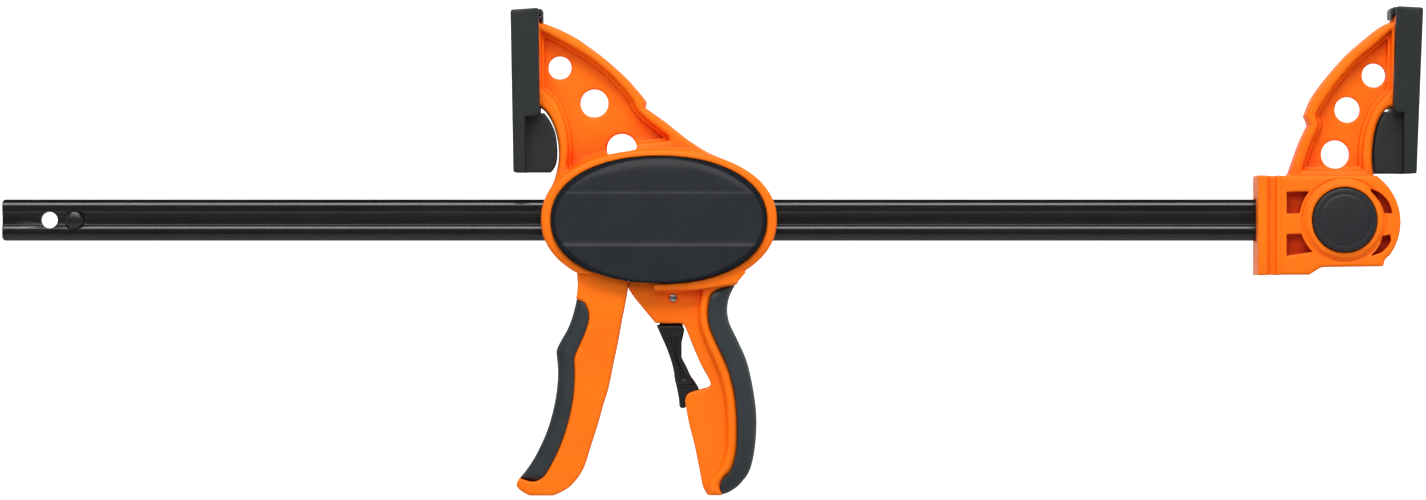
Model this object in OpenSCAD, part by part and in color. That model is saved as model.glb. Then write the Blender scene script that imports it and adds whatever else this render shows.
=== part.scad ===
// One-handed trigger bar clamp, set up as a spreader.
// +X runs along the bar towards the fixed jaw, +Z is the side of the jaws, Y is the depth.
// The origin is the centre of the locking hole near the free end of the bar.

/* [Bar] */
// Distance from the locking hole to the free end of the bar
bar_free_end = 23; // [20:1:26]
// Distance from the locking hole to the end of the bar inside the fixed head
bar_far_end = 654; // [650:1:654]
// Height of the bar section
bar_h = 20.2; // [20:0.1:20.4]
// Thickness of the bar over its flanges
bar_t = 8; // [7.6:0.1:8]
// Thickness of the bar between its two grooves
bar_web = 5; // [4:0.5:6]
// Radius of the two locking holes
lock_hole_r = 4; // [4:0.02:4.04]
// Clearance between the bar and the parts that slide on it
slide_gap = 0.15; // [0.1:0.05:0.25]

/* [Housing] */
// Half depth of the oval rim of the housing
ring_half = 16; // [15.6:0.2:16.4]
// Half depth of the rims of the jaw arms
arm_half = 9; // [8.6:0.2:9]
// Thickness of the web of the jaw arms
arm_web = 5; // [4:0.5:6]
// Half depth of the recessed plate of the handle
plate_half = 9.2; // [8.8:0.2:9.4]
// Half depth of the rims of the handle
rim_half = 13; // [12.6:0.2:13.4]
// Half depth of the rubber on the handle
grip_half = 14.5; // [14:0.5:15]

/* [Trigger] */
// Radius of the trigger's pivot pin
pivot_r = 3; // [2.8:0.1:3.2]
// Half depth of the trigger
trig_half = 13; // [12.8:0.1:13]
// Half width of the channel inside the trigger
trig_in = 10; // [9.8:0.1:10]

/* [Lock button] */
// Radius of the push button
button_r = 15.5; // [15:0.1:15.6]
// Radius of the locking pin
lock_pin_r = 3.92; // [3.9:0.01:3.96]

/* [Hidden] */
$fn = 64;

orange = [0.98, 0.42, 0.08];
slate = [0.17, 0.19, 0.21];
blackc = [0.09, 0.09, 0.10];
steel = [0.60, 0.61, 0.63];

hz = bar_h / 2;           // half height of the bar
hy = bar_t / 2;           // half thickness of the bar
oc = [297.6, 0];          // centre of the oval housing
piv = [263.8, 16];        // trigger pivot
rel = [304.5, -38];       // release lever pivot
ful = [306, -12.5];       // line on which the brake plate rocks
lock_x = 631;             // locking hole in the fixed head
posts = [[272.5, 24.5], [313, 25.3], [338, -14], [317, -23.5]];

// ---------- helpers ----------
// a smooth open line through control points
function cr(a, b, c, d, t) = 0.5 * ((2 * b) + (c - a) * t + (2 * a - 5 * b + 4 * c - d) * t * t + (3 * b - a - 3 * c + d) * t * t * t);
function smooth(p, n = 4) = concat([for (i = [0 : len(p) - 2]) for (k = [0 : n - 1])
  cr(p[max(i - 1, 0)], p[i], p[i + 1], p[min(i + 2, len(p) - 1)], k / n)], [p[len(p) - 1]]);
function rev(p) = [for (i = [len(p) - 1 : -1 : 0]) p[i]];
function shift(p, v) = [for (q = p) q + v];
function sgn(v) = v < 0 ? -1 : 1;
// an oval a little squarer than an ellipse
function oval(a, b, c = [0, 0], e = 2.15, n = 96) = [for (i = [0 : n - 1]) let (t = 360 * i / n)
  c + [a * sgn(cos(t)) * pow(abs(cos(t)), 2 / e), b * sgn(sin(t)) * pow(abs(sin(t)), 2 / e)]];
function arc(c, r, a0, a1, n = 8) = [for (i = [0 : n]) let (t = a0 + (a1 - a0) * i / n) c + r * [cos(t), sin(t)]];
function rrect(x0, x1, z0, z1, r, n = 5) = concat(arc([x1 - r, z1 - r], r, 0, 90, n), arc([x0 + r, z1 - r], r, 90, 180, n),
  arc([x0 + r, z0 + r], r, 180, 270, n), arc([x1 - r, z0 + r], r, 270, 360, n));
// a plate of an X-Z outline between two depths
module slab(y0, y1) { translate([0, y1, 0]) rotate([90, 0, 0]) linear_extrude(y1 - y0) children(); }
// a round bar along Y
module ycyl(x, z, r, y0, y1) { translate([x, y1, z]) rotate([90, 0, 0]) cylinder(r = r, h = y1 - y0); }
module box(x0, x1, y0, y1, z0, z1) { translate([x0, y0, z0]) cube([x1 - x0, y1 - y0, z1 - z0]); }
// the hole that the bar slides in
module bar_way(x0, x1) { box(x0, x1, -hy - slide_gap, hy + slide_gap, -hz - slide_gap, hz + slide_gap); }
// a coil spring along Z with its lower end at the origin
module coil(r, w, len, turns, seg = 14, sides = 7) {
  N = round(turns * seg);
  pts = [for (i = [0 : N]) let (a = 360 * i / seg, z = w + (len - 2 * w) * i / N)
    for (k = [0 : sides - 1]) let (b = 360 * k / sides) [(r + w * cos(b)) * cos(a), (r + w * cos(b)) * sin(a), z + w * sin(b)]];
  faces = concat([[for (k = [0 : sides - 1]) k]],
    [for (i = [0 : N - 1]) for (k = [0 : sides - 1]) let (a = i * sides + k, b = i * sides + (k + 1) % sides) [a, a + sides, b + sides, b]],
    [[for (k = [sides - 1 : -1 : 0]) N * sides + k]]);
  polyhedron(points = pts, faces = faces, convexity = 10);
}

// ---------- outlines, in X and Z ----------
arm_back = concat([[238.9, 99.4], [239.3, 96]], smooth([[241.4, 95.6], [248.8, 92.6], [257.5, 88.1], [265.2, 82.7], [271, 78.2], [276.4, 73.6], [281.2, 69.1], [285.8, 64.1], [289.5, 59.7], [291.1, 57.4]], 2));
arm_back2 = smooth([[290.4, 54.6], [299.8, 48], [311, 39.2], [322, 32], [336, 24]], 3);
arm_front = smooth([[238.9, 56.2], [243.3, 52.2], [246.6, 46], [248.6, 39], [249.2, 32], [248.6, 26], [246.4, 18], [243, 11], [241, 4]], 3);
arm_outline = concat(arm_back, arm_back2, [[330, 0], [250, 0]], rev(arm_front), [[238.4, 56.2], [237.4, 99.6]]);
arm_pocket = concat(smooth([[240.1, 91.8], [249, 87.4], [258, 82.4], [266, 77.2], [273, 71.4], [279, 65.2], [284.4, 58.6], [286.6, 54], [291.4, 49], [297, 44.6], [302, 40.6]], 2),
  [[302.4, 38.6], [287, 37.4], [280, 33.2], [272, 31.6], [262, 28.6], [254, 24]],
  rev(smooth([[240.2, 64.2], [247, 58], [250.4, 51], [252.6, 43], [253.4, 35], [253, 27]], 3)));

head_back = concat([[656.2, 99.6], [655.8, 96.7]], smooth([[653.4, 95.7], [649.6, 93.7], [643.8, 89.2], [634.8, 81.6], [627.5, 73.8], [621.1, 66], [615.8, 58.2], [612.8, 50.6]], 3));
head_back2 = smooth([[614.6, 46.2], [610.9, 38.7], [608, 31], [604.5, 21]], 3);
head_front = smooth([[656.2, 55.6], [651.8, 54], [648.2, 48.6], [646, 41], [645, 32], [645.4, 24], [646.4, 18], [650, 12]], 3);
head_outline = concat(head_back, head_back2, [[604.5, 12], [650, 12]], rev(head_front), [[656.4, 55.6], [658.2, 99.8]]);
head_pocket = concat(smooth([[654.5, 92.2], [647, 85.6], [638.5, 78.6], [631, 70.8], [625, 63], [620, 55.4], [617.8, 50.8], [619, 46], [615.6, 38], [612.6, 29.6], [611.2, 24.4]], 3),
  [[640.6, 24.4]], rev(smooth([[654.1, 63.4], [647.2, 56], [643.6, 48.6], [641.2, 40.6], [640.4, 32], [640.6, 25.4]], 3)));

trig_left = smooth([[258, -31], [257.6, -36], [256.1, -44], [253.4, -52], [249.4, -59.2], [247.5, -63.6], [247.7, -67.4], [248.2, -73], [247.9, -80], [246.3, -90.6], [243, -102.3], [237.7, -114], [232.8, -121.7], [229.2, -126]], 3);
trig_toe = smooth([[229.2, -126], [228.2, -129.2], [230.6, -132], [234.6, -134.2]], 3);
trig_right = smooth([[246, -134.2], [250.6, -132.2], [255.4, -128.8], [260.5, -121.7], [264.4, -110], [267.6, -100], [270.2, -90.6], [272.6, -83], [275.1, -71], [277.5, -59.5], [278.9, -51.7], [280.4, -44], [281.9, -36], [282.6, -31]], 3);
trig_split = smooth([[257.2, -38.4], [261, -40.4], [263, -44.4], [263.3, -48.4], [261.4, -54.8], [258.4, -61.6], [256.2, -67.4], [256.4, -75], [255.6, -86.6], [253.2, -98.4], [249.3, -110], [244.4, -120], [240.6, -125.4], [236, -127.4], [229.6, -125.6]], 3);

plate_left = smooth([[282.8, -30], [283.6, -35], [290.6, -44], [296, -50.4]], 3);
window_edge = smooth([[310.6, -53], [314.9, -63.4], [318.3, -71], [322.4, -78.6], [321.8, -81.4], [316, -83], [311.6, -84.8], [310.2, -88]], 3);
handle_front = smooth([[310.2, -88], [312, -98.4], [314.9, -110], [317.3, -121.7], [318.8, -129.4], [320.6, -132.6], [323.4, -134.2]], 3);
grip_split = smooth([[335.2, -31], [327, -33.6], [323.2, -36.8], [321.7, -43], [322, -50], [324.1, -56], [327.5, -63.4], [331.1, -71.4], [333.8, -80.6], [335.2, -90], [335.8, -100], [335.4, -112], [333, -121.4], [329.2, -125.8], [327.4, -129.6], [328.2, -134]], 3);
grip_out = smooth([[335.2, -31], [331.8, -38], [330.9, -45], [332.4, -51], [336.5, -59.5], [340.6, -69], [343.2, -80], [344.9, -91], [345.3, -100], [344.4, -112], [342, -122], [337.6, -128.4], [332.6, -132.4], [328.2, -134]], 3);
// inner edge of the raised rim that follows the grip
rim_in = smooth([[318.4, -34], [317.2, -43], [317.6, -51], [320, -59], [324, -68], [327.6, -77], [329.8, -88], [330.6, -100], [330.2, -112], [327.4, -120.6], [323.6, -125.4], [321.6, -129], [321.6, -134.2]], 3);

// ---------- bar ----------
module bar() {
  color(blackc) difference() {
    intersection() {
      translate([-bar_free_end - 1, 0, 0]) rotate([90, 0, 90]) linear_extrude(bar_far_end + bar_free_end + 2)
        polygon(concat(arc([hy - 1.2, hz - 1.2], 1.2, 0, 90, 5), arc([-hy + 1.2, hz - 1.2], 1.2, 90, 180, 5),
          [[-hy, 4], [-bar_web / 2, 2.3], [-bar_web / 2, -2.3], [-hy, -4]],
          arc([-hy + 1.2, -hz + 1.2], 1.2, 180, 270, 5), arc([hy - 1.2, -hz + 1.2], 1.2, 270, 360, 5),
          [[hy, -4], [bar_web / 2, -2.3], [bar_web / 2, 2.3], [hy, 4]]));
      slab(-6, 6) polygon(rrect(-bar_free_end, bar_far_end, -hz, hz, 1.5));
    }
    ycyl(0, 0, lock_hole_r, -10, 10);
    ycyl(lock_x, 0, lock_hole_r, -10, 10);
    for (x = [12.1, 619]) ycyl(x, 0, 3, -10, 10);
  }
}
// riveted stop pins that keep the two jaws on the bar
module bar_stop_pins() {
  color(blackc) {
    translate([12.1, 0, 0]) rotate([90, 0, 0]) rotate_extrude()
      polygon([[0, -6], [1.6, -5.9], [2.8, -5.6], [3.8, -5], [4.3, -4], [3, -4], [3, 4], [4.3, 4], [3.8, 5], [2.8, 5.6], [1.6, 5.9], [0, 6]]);
    ycyl(619, 0, 3, -hy - 0.05, hy + 0.05);
  }
}

// ---------- fixed head ----------
module head_frame() {
  body = concat([[589, 21.5], [647, 21.5]], arc([631, -1], 27.5, 48, -36, 12), [[651, -19], [650, -22.6], [620, -23], [614, -26.7], [589, -26.7]]);
  color(orange) difference() {
    union() {
      slab(-14, 14) polygon(body);
      // collar at the mouth, with its two grooves
      slab(-15.2, 15.2) polygon([[588.8, 21.7], [593.4, 21.7], [593.4, -26.9], [588.8, -26.9]]);
      slab(-14.6, 14.6) polygon([[598.2, 21.6], [599.8, 21.6], [599.8, -26.8], [598.2, -26.8]]);
      // round bosses round the button and its rear seat
      ycyl(lock_x, 0, 18.6, -15.4, 16.3);
      // jaw arm: web, rims and the flange that carries the pad
      slab(-arm_web / 2, arm_web / 2) polygon(head_outline);
      difference() {
        slab(-arm_half, arm_half) polygon(head_outline);
        slab(-arm_half - 1, arm_half + 1) polygon(head_pocket);
      }
      slab(-12, 12) polygon([[657, 56.4], [661.6, 56.4], [663.2, 99.6], [658.6, 99.6]]);
      slab(-arm_half, arm_half) polygon([[655, 56.4], [658, 56.4], [659.6, 99.6], [656, 99.6]]);
    }
    bar_way(588, bar_far_end + 0.6);
    for (y = [-20, 12.8]) slab(y, y + 7.2) polygon([[594.4, 30], [597.6, 30], [597.6, -30], [594.4, -30]]);
    // lightening holes
    ycyl(646.5, 70.6, 5.8, -20, 20);
    ycyl(633.6, 53.8, 6.2, -20, 20);
    ycyl(627.7, 32, 6.9, -20, 20);
    // pockets in the two faces
    for (s = [-1, 1]) mirror([0, s > 0 ? 1 : 0, 0]) {
      slab(-20, -7) polygon(concat([[603, 13.7]], arc([lock_x, 0], 22, 141, 172, 5), [[603, 3.1]]));
      slab(-20, -7) polygon(concat([[603, -7]], arc([lock_x, 0], 22, 198, 225, 5), [[603, -17.4]]));
      slab(-20, -7) polygon([[643.6, 15], [646.6, 14], [649.2, 12.4], [651.4, 10.2], [652.8, 8], [653.8, 5.4], [654.2, 3], [650.4, 3.4], [649.6, 6.2], [648.2, 8.8], [646.2, 11.4], [643.9, 13.9]]);
      slab(-20, -7) polygon([[653.4, -7.1], [653.6, -10], [652.4, -12.6], [649.2, -15.8], [643.8, -17.6], [646.6, -14.6], [648.6, -11.4], [649.6, -7.8]]);
    }
    // seat of the button, seat of the yoke, and the ways of the legs and the pin
    ycyl(lock_x, 0, button_r + 0.3, -20, -6.4);
    ycyl(lock_x, 0, 16, 7, 20);
    for (z = [-14.9, 11.1]) box(lock_x - 4.3, lock_x + 4.3, -10, 10, z, z + 3.8);
    ycyl(lock_x, 0, 4.3, 0, 10);
  }
}
module head_rear_cap() {
  color(slate) difference() {
    union() { ycyl(lock_x, 0, 18.2, 16.3, 18.3); difference() { ycyl(lock_x, 0, 15.9, 14.6, 16.4); ycyl(lock_x, 0, 15.2, 14, 16.3); } }
    for (a = [0 : 60 : 300]) ycyl(lock_x + 10 * cos(a), 10 * sin(a), 1.2, 10, 20);
  }
}
// push button: a shallow cup with two snap legs that pass over and under the bar
module lock_button() {
  color(slate) {
    difference() {
      union() {
        translate([lock_x, 0, 0]) rotate([90, 0, 0]) rotate_extrude()
          polygon([[0, 12.8], [button_r, 12.8], [button_r, 16.4], [button_r - 0.5, 17], [button_r - 1.6, 17.3], [11, 17.7], [6, 17.95], [0, 18]]);
      }
      ycyl(lock_x, 0, 13.8, -16.2, -12);
    }
    for (z = [-14.6, 11.4]) difference() {
      box(lock_x - 4, lock_x + 4, -16.2, 11.2, z, z + 3.2);
      box(lock_x - 5, lock_x + 5, 7.3, 9.8, z > 0 ? z + 2.4 : z - 1, z > 0 ? z + 4.2 : z + 0.8);
    }
  }
}
module lock_yoke() {
  color(steel) difference() {
    slab(7.35, 9.75) polygon(rrect(lock_x - 6.6, lock_x + 6.6, -15, 15, 2));
    for (z = [-15.1, 11.35]) box(lock_x - 4.05, lock_x + 4.05, 7, 10, z > 0 ? z : z + 1.25, z > 0 ? z + 2.5 : z + 3.75);
    ycyl(lock_x, 0, lock_pin_r, 7, 10);
  }
}
module lock_pin() {
  color(steel) translate([lock_x, 0, 0]) rotate([-90, 0, 0]) rotate_extrude()
    polygon([[0, 0.2], [lock_pin_r - 0.8, 0.2], [lock_pin_r, 1], [lock_pin_r, 10.2], [0, 10.2]]);
}
module button_spring() { color(steel) translate([lock_x, -6.5, 0]) rotate([90, 0, 0]) coil(8, 0.4, 9.5, 4); }

// ---------- pads ----------
// each pad is a shoe: a deep front plate, side walls with lips behind the flange, a thinner tail with a gusset
module jaw_pad() {
  color(slate) difference() {
    union() {
      slab(-16, 16) polygon([[225.4, 101.6], [226.2, 102.4], [238.4, 103.2], [239, 102.8], [239.4, 70], [239.6, 52.4], [238, 50.6], [232.5, 50.2], [232.5, 23.2], [226.8, 23.2]]);
      slab(-9, 9) polygon([[230, 99.9], [230, 102.7], [236, 103.1], [240.2, 102.9], [241, 102], [241, 96.4], [239.7, 96.4], [239.7, 99.9]]);
      slab(-8, 8) polygon(concat([[232, 51.6]], smooth([[241.6, 52.2], [244.4, 48.2], [246.8, 42.4], [247.7, 36], [247.7, 30], [246.6, 26], [244.6, 23.2]], 3), [[232, 23.2]]));
    }
    // pocket for the flange, and the narrower way of the arm behind it
    slab(-12.1, 12.1) polygon([[230.3, 99.8], [235.1, 99.8], [236.3, 52], [231.3, 52]]);
    slab(-9.15, 9.15) polygon([[233, 99.8], [239.7, 99.8], [241, 53.6], [233, 53.6]]);
  }
}
module head_pad() {
  color(slate) difference() {
    union() {
      slab(-16, 16) polygon([[669.2, 102.6], [668.4, 103.4], [657, 104], [656.2, 103.4], [655.2, 70], [654.7, 54.4], [656.4, 52.6], [659.8, 52.2], [659.8, 22.6], [666, 22.6]]);
      slab(-9, 9) polygon([[664, 100.1], [664, 103.5], [656, 103.9], [654.6, 103.2], [654, 102.2], [654, 97.8], [655.3, 97.8], [655.3, 100.1]]);
      slab(-8, 8) polygon(concat([[661, 53.4]], smooth([[652, 53], [648.8, 48], [646.9, 41], [646, 33], [646.2, 27], [646.8, 22.6]], 3), [[661, 22.6]]));
    }
    slab(-12.1, 12.1) polygon([[663.4, 100], [658.4, 100], [656.6, 54], [661.7, 54]]);
    slab(-9.15, 9.15) polygon([[660, 100], [655.3, 100], [653.6, 55.4], [660, 55.4]]);
  }
}

// ---------- moving housing ----------
module body_frame() {
  color(orange) difference() {
    union() {
      // oval rim
      difference() {
        slab(-ring_half, ring_half) polygon(oval(57.4, 34.4, oc));
        slab(-ring_half - 1, ring_half + 1) polygon(oval(52.6, 31, oc));
      }
      // jaw arm
      difference() {
        union() {
          difference() {
            slab(-arm_half, arm_half) polygon(arm_outline);
            for (s = [-1, 1]) mirror([0, s > 0 ? 1 : 0, 0]) slab(-arm_half - 1, -arm_web / 2) polygon(arm_pocket);
          }
          slab(-12, 12) polygon([[230.4, 99.4], [235, 99.4], [236.1, 56.6], [231.2, 56.6]]);
          slab(-arm_half, arm_half) polygon([[234.6, 99.4], [239, 99.4], [239.6, 56.4], [235.6, 56.4]]);
        }
        slab(-20, 20) polygon(oval(52.6, 31, oc));
      }
      // bar guides at both ends of the cavity
      intersection() {
        union() { box(240, 250.2, -13.4, 13.4, -13, 13); box(346.4, 355.5, -13.4, 13.4, -16, 16); }
        slab(-14, 14) polygon(oval(57, 34, oc));
      }
      // pivot boss with its rib
      ycyl(piv[0], piv[1], 6, -9.5, 9.5);
      intersection() { box(260, 267.6, -9.5, 9.5, 16, 34); slab(-10, 10) polygon(oval(57, 34, oc)); }
      // wall that the drive spring pushes on, with the nose that the brake plate rocks on
      intersection() {
        union() {
          box(298, 302, -13.4, 13.4, -24, 34);
          box(298, 304, -9.2, 9.2, -34, -13.5);
          box(298, 304.6, -9.2, 9.2, -14.5, -10.9);
          box(325, 328, -13.4, 13.4, -34, 34);
        }
        slab(-14, 14) polygon(oval(57, 34, oc));
      }
      ycyl(ful[0] - 1.3, ful[1], 1, -9.2, 9.2);
      // posts for the cover screws, tied to the rim
      for (p = posts) ycyl(p[0], p[1], 3.6, -9, 13.4);
      intersection() {
        union() { box(271, 274, -8, 13, 25, 34); box(311.5, 314.5, -8, 13, 26, 34); box(315.5, 318.5, -8, 13, -34, -24); box(338, 350, -8, 13, -15, -13); }
        slab(-14, 14) polygon(oval(57, 34, oc));
      }
      // recessed plate of the handle
      slab(-plate_half, plate_half) polygon(concat(plate_left, [[297.2, -50.2], [308, -50.4], [309.6, -51.2]], window_edge, handle_front,
        rev(grip_split), [[318, -28]]));
      // raised rim along the grip
      slab(-rim_half, rim_half) polygon(concat([[316.4, -30.5]], rim_in, [[328.2, -134.2]], rev(grip_split), [[336.6, -29]]));
      // tongue that the grip is moulded round
      slab(-5, 5) polygon(concat([for (q = grip_split) if (q[1] < -46 && q[1] > -118) q], rev(shift([for (q = grip_split) if (q[1] < -46 && q[1] > -118) q], [4.5, 0]))));
      // lip of the rim under the cover, between the trigger and the handle
      difference() {
        for (y = [-ring_half, ring_half - 2.7]) slab(y, y + 2.7) polygon([[295.4, -30.4], [295.4, -34.2], [316, -34.2], [335.4, -31], [340.4, -25], [330, -24], [312, -29]]);
        slab(-20, 20) polygon(oval(52.6, 31, oc));
      }
    }
    // the way of the bar
    bar_way(230, 360);
    // lightening holes of the arm
    ycyl(249.2, 74.3, 5.6, -20, 20);
    ycyl(266, 57, 6.8, -20, 20);
    difference() { ycyl(279.4, 34.8, 7.3, -20, 20); slab(-21, 21) polygon(oval(57.4, 34.4, oc)); }
    // gap in the bottom of the rim that the trigger swings in
    slab(-9.6, 9.6) polygon([[256.4, -40], [256.4, -20], [282.6, -20], [282.6, -40]]);
    for (y = [-13.4, 9.6]) slab(y, y + 3.8) polygon([[256.4, -40], [256.4, -20], [297.9, -20], [297.9, -30], [299.6, -34], [299.6, -40]]);
    for (y = [-20, 13.3]) slab(y, y + 6.7) polygon([[258, -40], [258, -26], [295.2, -26], [295.2, -36], [282.4, -36], [282.4, -40]]);
    // slot of the release lever and of the tail of the brake plate
    slab(-4.5, 4.5) polygon([[306.2, -14.7], [304.2, -20], [298.4, -34], [297, -52], [311, -52], [316.6, -40], [316.6, -24], [311.5, -14.7]]);
    slab(-6, 6) polygon([[309, -79], [326, -77], [322, -92], [318, -97], [309, -97]]);
    slab(-7.5, 7.5) polygon([[305.5, -49.9], [312.8, -49.9], [312.9, -58.6], [310.4, -53], [308.6, -50.6]]);
    // bores
    ycyl(piv[0], piv[1], pivot_r, -20, 20);
    ycyl(rel[0], rel[1], 1.75, -20, 20);
    for (p = posts) ycyl(p[0], p[1], 1.7, -12, 14);
  }
}

// oval cover: s = -1 is the front one, s = 1 the rear one
module cover(s) {
  module b(y0, y1) { if (s < 0) slab(-y1, -y0) children(); else slab(y0, y1) children(); }
  difference() {
    union() {
      difference() {
        union() {
          b(13.6, 17.2) polygon(oval(52.3, 30.7, oc));
          b(17, 19.3) polygon(oval(49.6, 28.2, oc));
        }
        b(13, 16.4) polygon(oval(50, 28.4, oc));
      }
      for (p = posts) if (s < 0) ycyl(p[0], p[1], 3.4, -17, -9.2); else ycyl(p[0], p[1], 4.2, 13.7, 18);
    }
    for (p = posts) if (s < 0) ycyl(p[0], p[1], 1.5, -15.4, -9); else { ycyl(p[0], p[1], 1.7, 13, 20); ycyl(p[0], p[1], 3.1, 16.8, 20); }
  }
}
module front_cover() { color(slate) cover(-1); }
module rear_cover() { color(slate) cover(1); }
module cover_screws() {
  color(steel) for (p = posts) translate([p[0], 0, p[1]]) rotate([-90, 0, 0]) difference() {
    rotate_extrude() polygon([[0, -14.6], [1.1, -14.6], [1.5, -13.8], [1.5, 16.8], [2.9, 16.8], [2.9, 17.8], [2.2, 18.4], [0, 18.6]]);
    for (a = [0, 90]) rotate([0, 0, a]) translate([-1.7, -0.35, 17.5]) cube([3.4, 0.7, 3]);
  }
}
module handle_grip() {
  g = concat(grip_split, [for (i = [len(grip_out) - 2 : -1 : 1]) grip_out[i]]);
  inner = concat(shift([for (q = grip_split) if (q[1] < -36 && q[1] > -126) q], [0.8, 0]), rev(shift([for (q = grip_out) if (q[1] < -36 && q[1] > -126) q], [-1.4, 0])));
  t = [for (q = grip_split) if (q[1] < -46 && q[1] > -118) q];
  color(slate) difference() {
    union() {
      slab(-grip_half + 1.5, grip_half - 1.5) polygon(g);
      slab(-grip_half, grip_half) polygon(inner);
    }
    slab(-5, 5) polygon(concat(shift(t, [-1, 0]), rev(shift(t, [4.5, 0]))));
  }
}
module trigger_pivot_pin() { color(steel) ycyl(piv[0], piv[1], pivot_r, -13.4, 13.4); }
module release_pivot_pin() { color(steel) ycyl(rel[0], rel[1], 1.75, -9.5, 9.5); }

// ---------- trigger ----------
module trigger_lever() {
  color(orange) difference() {
    union() {
      // two side walls that run up into the fork ears, joined by the spine under the grip
      difference() {
        slab(-trig_half, trig_half) polygon(concat(arc(piv, 6.9, 0, 180, 14), [[257.4, -22]], [for (q = trig_left) if (q[1] > -36.5) q], trig_split,
          [for (i = [1 : len(trig_toe) - 1]) trig_toe[i]], trig_right, [[279.6, -22]]));
        slab(-trig_in, trig_in) polygon(concat([[300, 40], [240, 40], [240, -23], [262.5, -23], [265, -33]],
          [for (q = shift(trig_split, [5, 0])) if (q[1] < -48 && q[1] > -117) q], [[247, -124], [247, -130], [262, -130], [290, -60]]));
      }
      // cross wall with the nose that pushes the drive plates
      slab(-trig_in - 0.5, trig_in + 0.5) polygon([[259.4, -25], [262, -19], [267.4, -15.5], [271, -18], [270.4, -21], [266, -30], [265.2, -36], [261, -36]]);
      ycyl(268.7, -18, 3, -trig_in - 0.5, trig_in + 0.5);
    }
    ycyl(piv[0], piv[1], pivot_r + 0.06, -20, 20);
  }
}
module trigger_grip() {
  color(slate) {
    slab(-trig_half + 0.6, trig_half - 0.6) polygon(concat([for (q = trig_left) if (q[1] <= -38.5) q], rev([for (q = trig_split) if (q[0] > 229) q])));
    slab(-trig_half - 0.6, trig_half + 0.6) polygon(concat(shift([for (q = trig_left) if (q[1] <= -41 && q[1] > -125) q], [1.2, 0]), rev([for (q = shift(trig_split, [-0.3, 0])) if (q[1] < -38.4 && q[0] > 231) q])));
  }
}

// ---------- drive and brake ----------
module drive_plates() {
  color(steel) difference() {
    for (x = [272, 275.1]) translate([x, 0, 0]) rotate([90, 0, 90]) linear_extrude(2.9) polygon(rrect(-9.5, 9.5, -21, 15, 1.5));
    box(270, 280, -4.4, 4.4, -10.5, 10.5);
  }
}
module drive_spring() { color(steel) translate([278.1, 0, -14.6]) rotate([0, 90, 0]) coil(3.1, 0.45, 19.8, 7); }
module brake_plate() {
  color(steel) translate([ful[0], 0, ful[1]]) rotate([0, -5, 0]) difference() {
    union() {
      rotate([90, 0, 90]) linear_extrude(3) polygon(rrect(-9.2, 9.2, -5, 31.5, 1.5));
      rotate([90, 0, 90]) linear_extrude(3) polygon(rrect(-3.6, 3.6, -17, 0, 1.2));
    }
    box(-1, 4, -4.4, 4.4, 12.45 - 10.4, 12.45 + 10.4);
  }
}
module brake_spring() { color(steel) translate([306.8, 0, 15.4]) rotate([0, 90, 0]) coil(2.6, 0.4, 18, 7); }
// release lever: a finger paddle under the hub and a short arm above it that pushes the tail of the brake plate
module release_lever() {
  color(blackc) difference() {
    union() {
      slab(-4, 4) polygon(concat(arc(rel, 4, 90, 270, 8), [[306, -52], [309, -51.6], [310.2, -46], [309.4, -38], [313, -32.5], [313.6, -27.5], [311.9, -27.5], [310.2, -32.5], [306.6, -34.4]]));
      ycyl(312.2, -27.5, 1.4, -4, 4);
      slab(-4, 4) polygon([[301, -40], [297.4, -52], [308, -53], [308, -40]]);
      slab(-7, 7) polygon(concat(smooth([[296.3, -51.2], [298.2, -55.6], [301.6, -63.4], [304.1, -71], [305.6, -79]], 3),
        [[308.2, -80.2], [314.8, -80.2], [313.4, -77], [311, -71.6], [308.6, -67], [308.6, -60], [309.4, -56.6], [310, -53.4], [309, -51.6], [307.8, -51.3]]));
      slab(-5.5, 5.5) polygon([[305, -76], [305.8, -80], [307.2, -87], [307.5, -91], [308.4, -91.8], [310.4, -91.6], [311.2, -89], [312.4, -86.6], [316.4, -84.6], [317, -82], [314.8, -78.4], [311, -74]]);
    }
    ycyl(rel[0], rel[1], 1.81, -20, 20);
  }
}

bar();
bar_stop_pins();
head_frame();
head_rear_cap();
head_pad();
lock_button();
lock_yoke();
lock_pin();
button_spring();
body_frame();
front_cover();
rear_cover();
cover_screws();
handle_grip();
jaw_pad();
trigger_pivot_pin();
release_pivot_pin();
trigger_lever();
trigger_grip();
drive_plates();
drive_spring();
brake_plate();
brake_spring();
release_lever();
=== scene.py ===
import bpy, bmesh, math
import numpy as np
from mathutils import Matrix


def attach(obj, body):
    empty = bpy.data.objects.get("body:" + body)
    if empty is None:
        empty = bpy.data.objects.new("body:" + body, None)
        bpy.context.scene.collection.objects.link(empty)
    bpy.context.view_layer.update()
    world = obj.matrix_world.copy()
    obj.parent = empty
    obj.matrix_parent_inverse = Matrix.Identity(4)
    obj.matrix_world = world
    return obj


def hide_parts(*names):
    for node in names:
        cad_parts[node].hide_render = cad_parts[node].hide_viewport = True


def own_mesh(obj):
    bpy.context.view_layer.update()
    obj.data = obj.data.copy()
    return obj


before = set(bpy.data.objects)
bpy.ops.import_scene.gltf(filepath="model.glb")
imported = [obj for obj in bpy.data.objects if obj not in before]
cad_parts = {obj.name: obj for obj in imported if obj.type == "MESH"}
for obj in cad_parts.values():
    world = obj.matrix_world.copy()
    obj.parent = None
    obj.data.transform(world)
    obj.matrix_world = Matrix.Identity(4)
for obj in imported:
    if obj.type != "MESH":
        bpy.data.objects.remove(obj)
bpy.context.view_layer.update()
import openvdb as vdb
from mathutils import Vector, Matrix

C = bpy.context
sc = C.scene

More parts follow.
